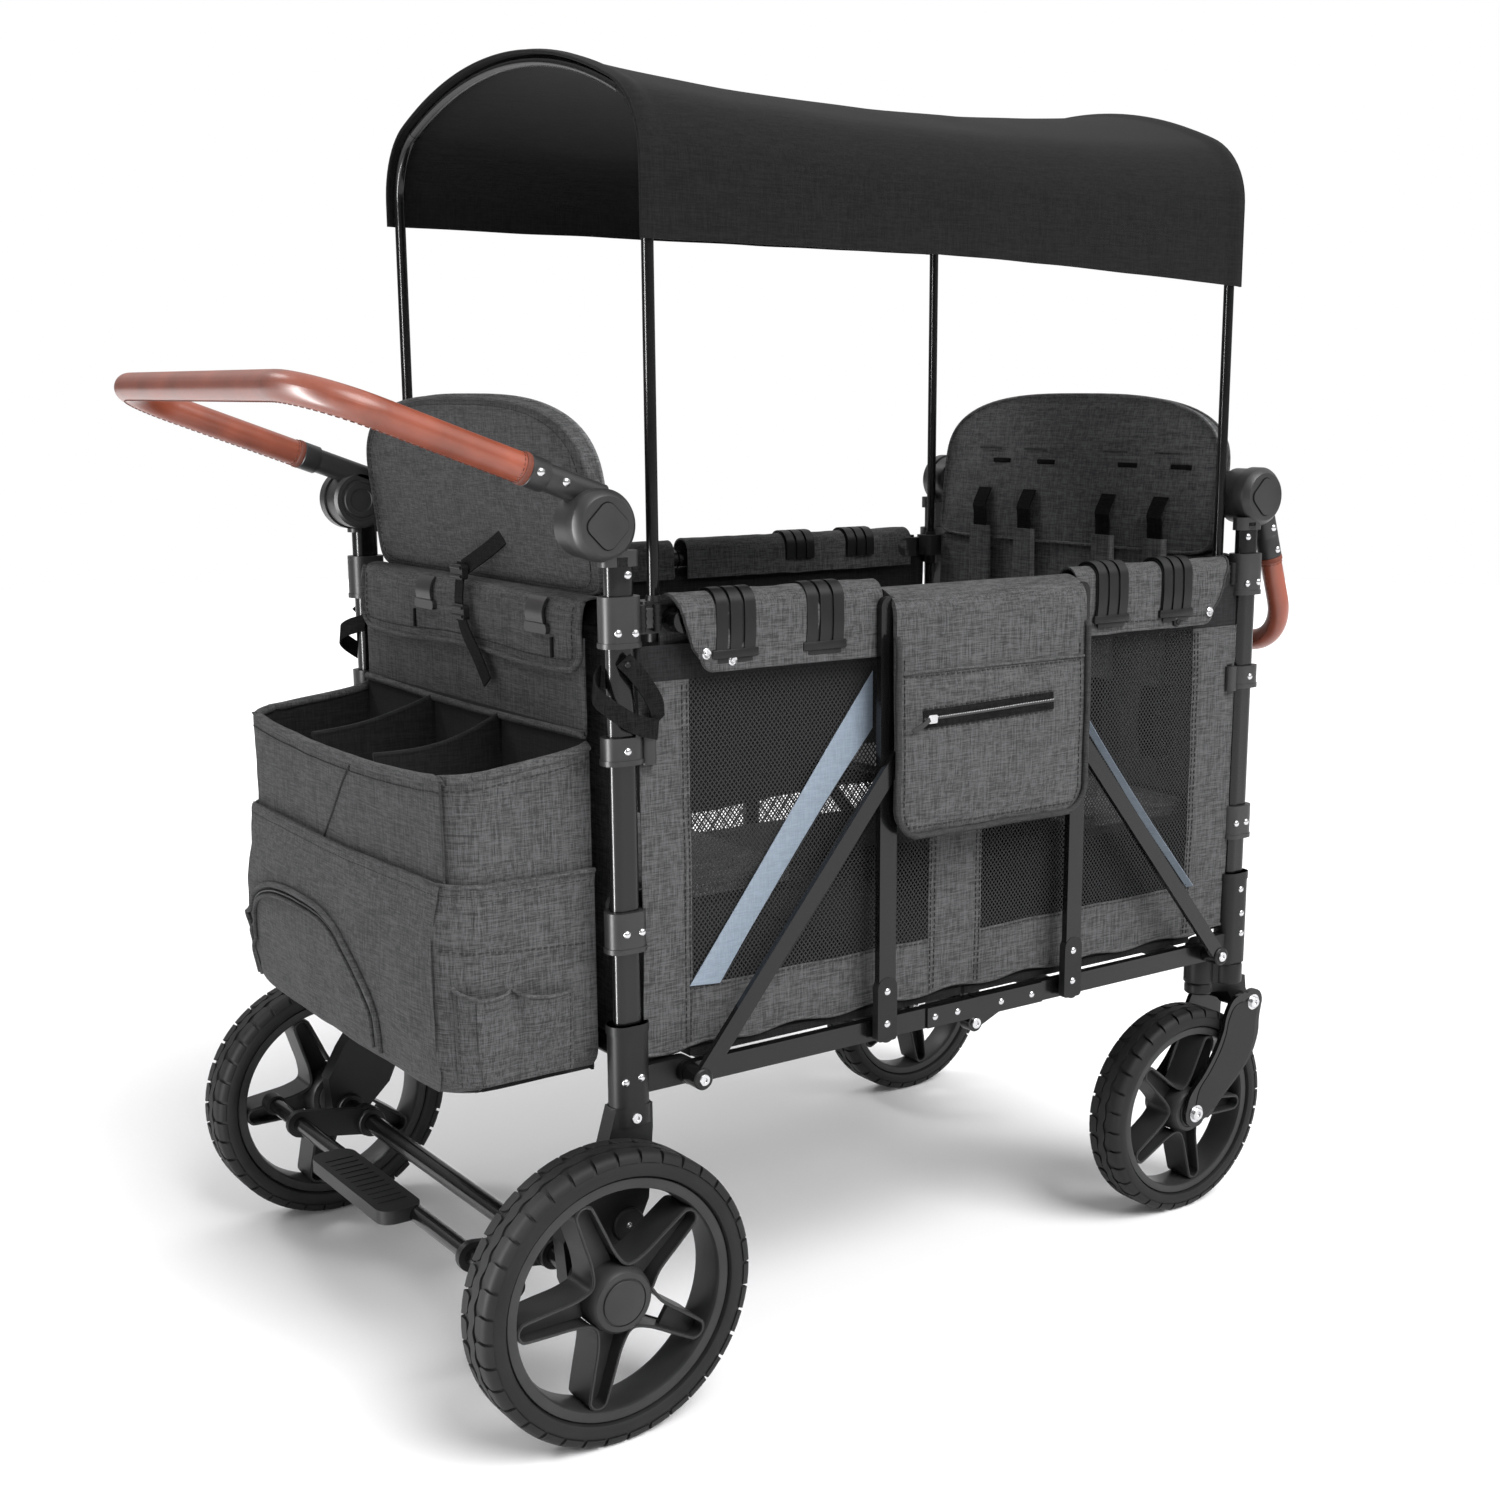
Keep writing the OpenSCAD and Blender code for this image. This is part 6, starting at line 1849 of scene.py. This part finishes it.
def make_button(h, end, side, sign, across):
    outline = lozenge(sign * h.hub_x, h.hub_z, h.button / 2, h.button_corner)
    low, high = sorted(across * y for y in BUTTON_Y)
    cap = Piece(end + "_button_cap_" + side)
    cap.add(plate(outline, low, high, 1, 1.2, 3), "moulding")
    cap.place(end + "_hub_button_" + side, "fitting", [end + "_button_" + side])


class WAGON_OT_handles(Operator):
    """Make the handle arms, the leather's rings and seams, and the hub buttons"""

    bl_idname = "wagon.handles"
    bl_label = "Handles"

    def execute(self, context):
        h = in_mm(context.scene.wagon_handles)
        rear = Matrix(((-math.cos(h.rear_up), 0, math.sin(h.rear_up), -h.hub_x), (0, 1, 0, 0),
                       (math.sin(h.rear_up), 0, math.cos(h.rear_up), h.hub_z), (0, 0, 0, 1)))
        front = Matrix(((math.cos(h.front_down), 0, math.sin(h.front_down), h.hub_x), (0, 1, 0, 0),
                        (-math.sin(h.front_down), 0, math.cos(h.front_down), h.hub_z), (0, 0, 0, 1)))
        make_handle(h, "rear", rear, h.rear_length, h.rear_bend, h.rear_grip, (71, 42), 80)
        make_handle(h, "front", front, h.front_length, h.front_bend, h.front_grip, (79, 51), 88)
        for end, sign in ENDS:
            for side, across in SIDES:
                make_button(h, end, side, sign, across)
        return {"FINISHED"}


def collar(low, high):
    """A sleeve round a post with a lip along its lower edge."""
    lip = bar(CUFF_X, (279.8, 310.2), (low, low + 5), 14, 1.2, 2, 8)
    return [bar(POST_X, POST_Y, (low, high), 13.5, 2.2, 2, 8), lip]


def post_mouldings(h, pole_x, pole_y):
    """Shapes on a rear post, each with its finish."""
    shapes = []

    def add(shape, finish_name="moulding"):
        shapes.append((shape, finish_name))

    for low, high in COLLARS_Z:
        shapes += [(part, "moulding") for part in collar(low, high)]
    add(bar((-417, -402), (287, 308), (659, 689), 5, 1.5))
    add(rod((-409.5, 297.5, 689), (-409.5, 297.5, 691), 5, 20, 0.6), "cast_alloy")
    disc = [(0, 0), (h.hub_r, 0), (h.hub_r, 13.5), (h.hub_r - 1, 15.5), (h.hub_r - 5.2, 20.6),
            (h.hub_r - 6.6, 21.6), (0, 21.8)]
    add(turned(disc, (-h.hub_x, 286, h.hub_z), Y_AXIS, 64))
    # A dark outline a little larger than the button, painted shade in the gap round it
    groove_shade_outline = lozenge(-h.hub_x, h.hub_z, h.button / 2 + 1, h.button_corner + 1)
    add(plate(groove_shade_outline, 307, 308.0, 1, 0), "webbing")
    add(bar((-455, -415), (286.5, 304), (851, 866), 8, 1.5))
    add(bar((pole_x - 16, pole_x + 16), (258.5, 284), (786, 814), 6, 1.8))
    add(rod((pole_x, pole_y, 774), (pole_x, pole_y, 790), 8, 24, 1), "cast_alloy")
    add(rod((pole_x, pole_y, 812), (pole_x, pole_y, 819), 8.4, 24, 0.8, 7.2), "cast_alloy")
    pins_x, pins_y = (-411, -394), 297
    for x in pins_x:
        add(rod((x, pins_y, 787), (x, pins_y, 813), 4.4, 18, 1), "cast_alloy")
        for z in (793, 800, 807):
            add(rod((x, pins_y, z - 1.2), (x, pins_y, z + 1.2), 5.2, 18, 0.5), "cast_alloy")
    add(block(pins_x, (291, 298), (790, 810), 1.4))
    lug_x, lug_y, lug_z = -374, 291.5, 797
    add(plate(link((-418, lug_z), (lug_x, lug_z), 26), 284, lug_y, 1, 1.2))
    bench_z = 517.5
    add(plate(link((-435, bench_z), (-392, bench_z), 24), 278, 284.5, 1, 1.2))
    add(bolt(lug_x, lug_y, lug_z, 7, 0.6), "steel")
    return shapes


class WAGON_OT_fittings(Operator):
    """Mould the collars, clamps, lugs, hub discs and rivets on the posts"""

    bl_idname = "wagon.fittings"
    bl_label = "Post fittings"

    def execute(self, context):
        h = in_mm(context.scene.wagon_handles)
        c = in_mm(context.scene.wagon_canopy)
        for end, sign in ENDS:
            pole_x = c.rear_hoop if end == "rear" else -c.front_hoop
            mirror = scaled((-sign, 1, 1))
            fittings = Piece(end + "_fittings")
            for shape, finish_name in post_mouldings(h, pole_x, c.leg):
                fittings.add(moved(shape, mirror), finish_name, both=True)
            fittings.place(end + "_frame", "fitting", [end + "_post_fittings"])
            rivets = Piece(end + "_rivets")
            low = ((-446, 343), (-428, 345)) if end == "rear" else ((-441, 352), (-440, 378), (-437, 409))
            spots = [(-444, 789), (-425, 788), (-436, 675), (-441, 494), (-424, 494), *low]
            for x, z in spots:
                rivets.add(moved(rivet(x, POST_Y[1], z, 4.2, 2.2), mirror), "steel", both=True)
            rivets.add(moved(rivet(-429, 304.0, 843, 4.2, 2.0), mirror), "steel", both=True)
            rivets.place(end + "_frame", "rivet", [end + "_fasteners"])
        return {"FINISHED"}


def corner_casting(low, high):
    """Shapes at the foot of a rear post, each with its finish."""
    body = bar(POST_X, POST_Y, (low, high), 13.5, 3, 2, 8)
    cuff = bar(CUFF_X, (279.8, 310.3), (high - 9, high), 14, 2, 2, 8)
    arm = plate(link((-428, FOLD_Z), (FOLD_X, FOLD_Z), 28), 290.3, 304.3, 1, 2.2)
    pin = rod((FOLD_X, 292, FOLD_Z), (FOLD_X, 339, FOLD_Z), 6, 20, 0.5)
    boss = turned([(0, 0), (11, 0), (11, 1.2), (9.6, 2.2), (0, 2.2)], (FOLD_X, 337.9, FOLD_Z), Y_AXIS, 28)
    head = bolt(FOLD_X, 340, FOLD_Z, 6, 2.4)
    return [(body, "cast_alloy"), (cuff, "cast_alloy"), (arm, "cast_alloy"), (pin, "steel"),
            (boss, "cast_alloy"), (head, "steel")]


def swivel_barrel():
    """Shapes that hold the swivel of a front caster."""
    lobe_x = 435
    swivel = [(0, 288), (17.6, 288), (19, 289.4), (19, 323), (18, 325.6), (13, 327.6), (0, 328)]
    lobe = [(0, 288), (16.6, 288), (18, 289.4), (18, 310), (17, 313), (0, 316)]
    web = plate([(SWIVEL_X, 262), (lobe_x, 279), (lobe_x, 309), (SWIVEL_X, 288)], 289, 314, 2, 1.5)
    cap = [(0, 328), (8, 328), (9, 329), (9, 330), (0, 330.5)]
    shapes = [turned(swivel, (SWIVEL_X, SWIVEL_Y, 0), Z_AXIS, 40),
              turned(lobe, (lobe_x, 295, 0), Z_AXIS, 40), web]
    shapes.append(turned(cap, (SWIVEL_X, SWIVEL_Y, 0), Z_AXIS, 24))
    for turn in range(0, 180, 60):
        swing = math.radians(turn + 200)
        spot = Vector((SWIVEL_X + 19 * math.cos(swing), SWIVEL_Y + 19 * math.sin(swing), 306))
        shapes.append(rod(spot - Z_AXIS * 12, spot + Z_AXIS * 12, 1.6, 10, 0.8))
    return shapes


class WAGON_OT_castings(Operator):
    """Mould the corner castings with their bolts and the swivel barrels"""

    bl_idname = "wagon.castings"
    bl_label = "Corner castings"

    def execute(self, context):
        for (end, sign), low, high in zip(ENDS, (316, 314), (400, 430)):
            mirror = scaled((-sign, 1, 1))
            corners = Piece(end + "_castings")
            for shape, finish_name in corner_casting(low, high):
                corners.add(moved(shape, mirror), finish_name, both=True)
            if end == "front":
                for shape in swivel_barrel():
                    corners.add(shape, "cast_alloy", both=True)
            corners.place(end + "_frame", "casting", [end + "_corners"])
        return {"FINISHED"}


def caster_crown(y):
    stem = rod((SWIVEL_X, y, 284), (SWIVEL_X, y, 318), 8, 24, 1)
    disc = turned([(0, 274), (15.5, 274), (17.5, 276), (17.5, 284.5), (16.5, 287), (0, 287)],
                  (SWIVEL_X, y, 0), Z_AXIS, 36)
    outline = [(398, 275), (398, 286.8), (476, 286.8), *arc((468, 260), 14, 40, -150, 10), (446, 270),
               (425, 274)]
    neck = plate(outline, y - 13, y + 13, 1, 2.2)
    return [stem, disc, neck]


def caster_fork(w, y):
    """Shapes of a fork's two blades and its bolts, each with its finish."""
    low_x, low_z = w.front_x, w.front_r
    front = [(481, 236), (480, 214), (470, 189), (448, 165), (420, 143), (397, 121)]
    back = [(362, 156), (384, 178), (404, 204), (416, 228), (421, 248), (432, 266), (448, 272)]
    top, foot = arc((FORK_X, FORK_Z), 17, 128, -20, 8), arc((low_x, low_z), 18, -30, -200, 9)
    blade = [*top, *front, *foot, *back]
    smooth = along([(x, 0, z) for x, z in blade + blade[:1]])
    outline = [(spot.x, spot.z) for spot in trail(90, smooth)[:-1]]
    shapes = []

    def add(shape, finish_name):
        shapes.append((shape, finish_name))

    for out in (-1, 1):
        face = y + out * 35.5
        near, far = sorted((y + out * 29.5, face))
        add(plate(outline, near, far, 1, 1.8), "frame_gloss")
        inset = [((a - 420) * 0.8 + 424, (b - 195) * 0.86 + 195) for a, b in outline]
        near, far = sorted((face, face + out * 0.8))
        add(plate(inset, near, far, 1, 0.5), "cast_alloy")
        add(rod((FORK_X, y + out * 13.5, FORK_Z), (FORK_X, y + out * 30, FORK_Z), 9, 24, 0.8), "cast_alloy")
        for x, z, radius in ((FORK_X, FORK_Z, 7), (low_x, low_z, 8)):
            washer = turned([(0, 0), (radius + 3, 0), (radius + 3, 0.8), (0, 1)], (x, face, z),
                            (0, out, 0), 24)
            add(washer, "steel")
            add(bolt(x, face + out * 1.8, z, radius, 3, (0, out, 0)), "steel")
    for x, z in ((FORK_X, FORK_Z), (low_x, low_z)):
        add(rod((x, y - 34, z), (x, y + 34, z), 5, 20), "steel")
    return shapes


class WAGON_OT_casters(Operator):
    """Shape the caster heads and their curved fork arms"""

    bl_idname = "wagon.casters"
    bl_label = "Casters"

    def execute(self, context):
        w = in_mm(context.scene.wagon_wheels)
        for side, sign in SIDES:
            head = Piece("caster_crown_" + side)
            for shape in caster_crown(sign * w.front_y):
                head.add(shape, "cast_alloy")
            head.place("caster_" + side, "casting", ["caster_head_" + side])
            fork = Piece("caster_fork_" + side)
            for shape, finish_name in caster_fork(w, sign * w.front_y):
                fork.add(shape, finish_name)
            fork.place("fork_" + side, "frame", ["fork_arm_" + side])
        return {"FINISHED"}


def make_brake(x, z):
    bar_x, bar_z = x - 86, z + 15
    brake = Piece("brake_pedal_bar")
    brake.add(rod((bar_x, -317, bar_z), (bar_x, 317, bar_z), 9, 24, 1.6), "frame_gloss")
    arm = plate(link((x, z), (bar_x, bar_z), 32), 222, 230, 1, 1.4)
    brake.add(arm, "cast_alloy", both=True)
    ring = turned([(12, 0), (18, 0), (18, 10), (16.6, 11.2), (12, 11.2)], (x, 221, z), Y_AXIS, 32)
    brake.add(ring, "cast_alloy", both=True)
    brake.add(rod((bar_x, 300, bar_z), (bar_x, 318, bar_z), 12, 24, 1.8), "cast_alloy", both=True)
    pedal = bar((bar_x - 40, bar_x + 9), (-100, 100), (bar_z - 5, bar_z + 10), 17, 4, 2)
    brake.add(pedal, "cast_alloy")
    for y in range(-70, 71, 14):
        rib = bar((bar_x - 32, bar_x + 1), (y - 1.5, y + 1.5), (bar_z + 9, bar_z + 10.8), 1.2, 0.5, 2)
        brake.add(rib, "cast_alloy")
    for y in (-60, 60):
        clasp = bar((bar_x - 9, bar_x + 9), (y - 14, y + 14), (bar_z - 9, bar_z + 1), 4, 1.5, 1)
        brake.add(clasp, "cast_alloy")
    brake.place("brake", "frame", ["brake_bar"])


class WAGON_OT_rear_axle(Operator):
    """Shape the rear legs with the axle and the brake bar with its pedal"""

    bl_idname = "wagon.rear_axle"
    bl_label = "Rear axle and brake"

    def execute(self, context):
        w = in_mm(context.scene.wagon_wheels)
        x, z = w.rear_x, w.rear_r
        axle = Piece("rear_legs")
        leg = [(POST_X[0], 315.6), (POST_X[1], 315.6), (POST_X[1], 290), (-420, 215), (-440, 172),
               *arc((x, z), 22, -30, -190, 8), (-519, 190), (-500, 224), (-472, 262)]
        leg_y = 306
        axle.add(plate(leg, 284, leg_y, 1, 3), "cast_alloy", both=True)
        axle.add(bar(CUFF_X, POST_Y, (296, 316), 12, 2.4), "cast_alloy", both=True)
        cover = [(0, 0), (18, 0), (18, 1.6), (16.5, 3), (15, 2.2), (0, 2.2)]
        cover_x, cover_z = -445, 192
        axle.add(turned(cover, (cover_x, leg_y, cover_z), Y_AXIS, 32), "cast_alloy", both=True)
        axle.add(rivet(cover_x, leg_y + 2.2, cover_z, 3.2, 1.6), "steel", both=True)
        axle.add(bolt(-435, POST_Y[1], 304, 5.5, 2.4), "steel", both=True)
        boss = [(0, 0), (22, 0), (22, 3), (17, 8), (12, 12), (0, 12)]
        axle.add(turned(boss, (x, leg_y, z), Y_AXIS, 32), "cast_alloy", both=True)
        axle.add(rod((x, 300, z), (x, w.rear_y + 24, z), 8, 24, 0.8), "steel", both=True)
        axle.add(rod((x, -290, z), (x, 290, z), 11, 28), "frame_gloss")
        ring = [(11, 0), (16, 0), (17, 1), (17, 6), (16, 7), (11, 7)]
        for y in (276, 236, 214):
            axle.add(turned(ring, (x, y, z), Y_AXIS, 32), "cast_alloy", both=True)
        axle.place("rear_frame", "casting", ["rear_axle"])
        make_brake(x, z)
        return {"FINISHED"}


class WAGON_OT_side_brackets(Operator):
    """Fit the brackets and rivets of the side frames"""

    bl_idname = "wagon.side_brackets"
    bl_label = "Side brackets"

    def execute(self, context):
        for end, sign in ENDS:
            posts = Piece(end + "_post_brackets")
            post_x, face_y = sign * 135, 331.2
            foot = rounded_outline((post_x - 13, post_x + 13), (331, 402), (4, 4, 12, 12), 5)
            posts.add(plate(foot, 321.9, face_y, 1, 1.4), "cast_alloy", both=True)
            for z in (350, 386):
                posts.add(rivet(post_x, face_y, z, 4, 1.8), "steel", both=True)
            posts.place(end + "_side_posts", "casting")
        hinge = Piece("hinge_rivets")
        for x in (-58, -26, 38, 84):
            hinge.add(rivet(x, 318.4, FOLD_Z, 3.8, 1.8), "steel", both=True)
        hinge.add(bolt(0, 319.4, 322, 6, 2), "steel", both=True)
        hinge.place("rear_floor", "rivet")
        return {"FINISHED"}


GROUPS = {"wagon_colours": WagonColours, "wagon_stage": WagonStage, "wagon_canopy": WagonCanopy,
          "wagon_tub": WagonTub, "wagon_bag": WagonBag, "wagon_seats": WagonSeats,
          "wagon_wheels": WagonWheels, "wagon_handles": WagonHandles}
STEPS = [WAGON_OT_stage, WAGON_OT_frame, WAGON_OT_canopy, WAGON_OT_side_panels, WAGON_OT_rim, WAGON_OT_pouch,
         WAGON_OT_bag, WAGON_OT_backrests, WAGON_OT_bench_pads, WAGON_OT_walls, WAGON_OT_wheels,
         WAGON_OT_handles, WAGON_OT_fittings, WAGON_OT_castings, WAGON_OT_casters, WAGON_OT_rear_axle,
         WAGON_OT_side_brackets]


class WAGON_PT_pieces(Panel):
    """The wagon's pieces and their sizes"""

    bl_label = "Stroller wagon"
    bl_idname = "WAGON_PT_pieces"
    bl_space_type = "VIEW_3D"
    bl_region_type = "UI"
    bl_category = "Wagon"

    def draw(self, context):
        for step in STEPS:
            self.layout.operator(step.bl_idname)
        for key in GROUPS:
            box = self.layout.box()
            group = getattr(context.scene, key)
            for name in group.__annotations__:
                box.prop(group, name)


def register():
    for kind in [*GROUPS.values(), *STEPS, WAGON_PT_pieces]:
        bpy.utils.register_class(kind)
    for key, kind in GROUPS.items():
        setattr(bpy.types.Scene, key, PointerProperty(type=kind))


def unregister():
    for key in GROUPS:
        delattr(bpy.types.Scene, key)
    for kind in [WAGON_PT_pieces, *reversed(STEPS), *reversed(GROUPS.values())]:
        bpy.utils.unregister_class(kind)


def main():
    register()
    for step in STEPS:
        area, name = step.bl_idname.split(".")
        getattr(getattr(bpy.ops, area), name)()


if __name__ == "__main__":
    main()
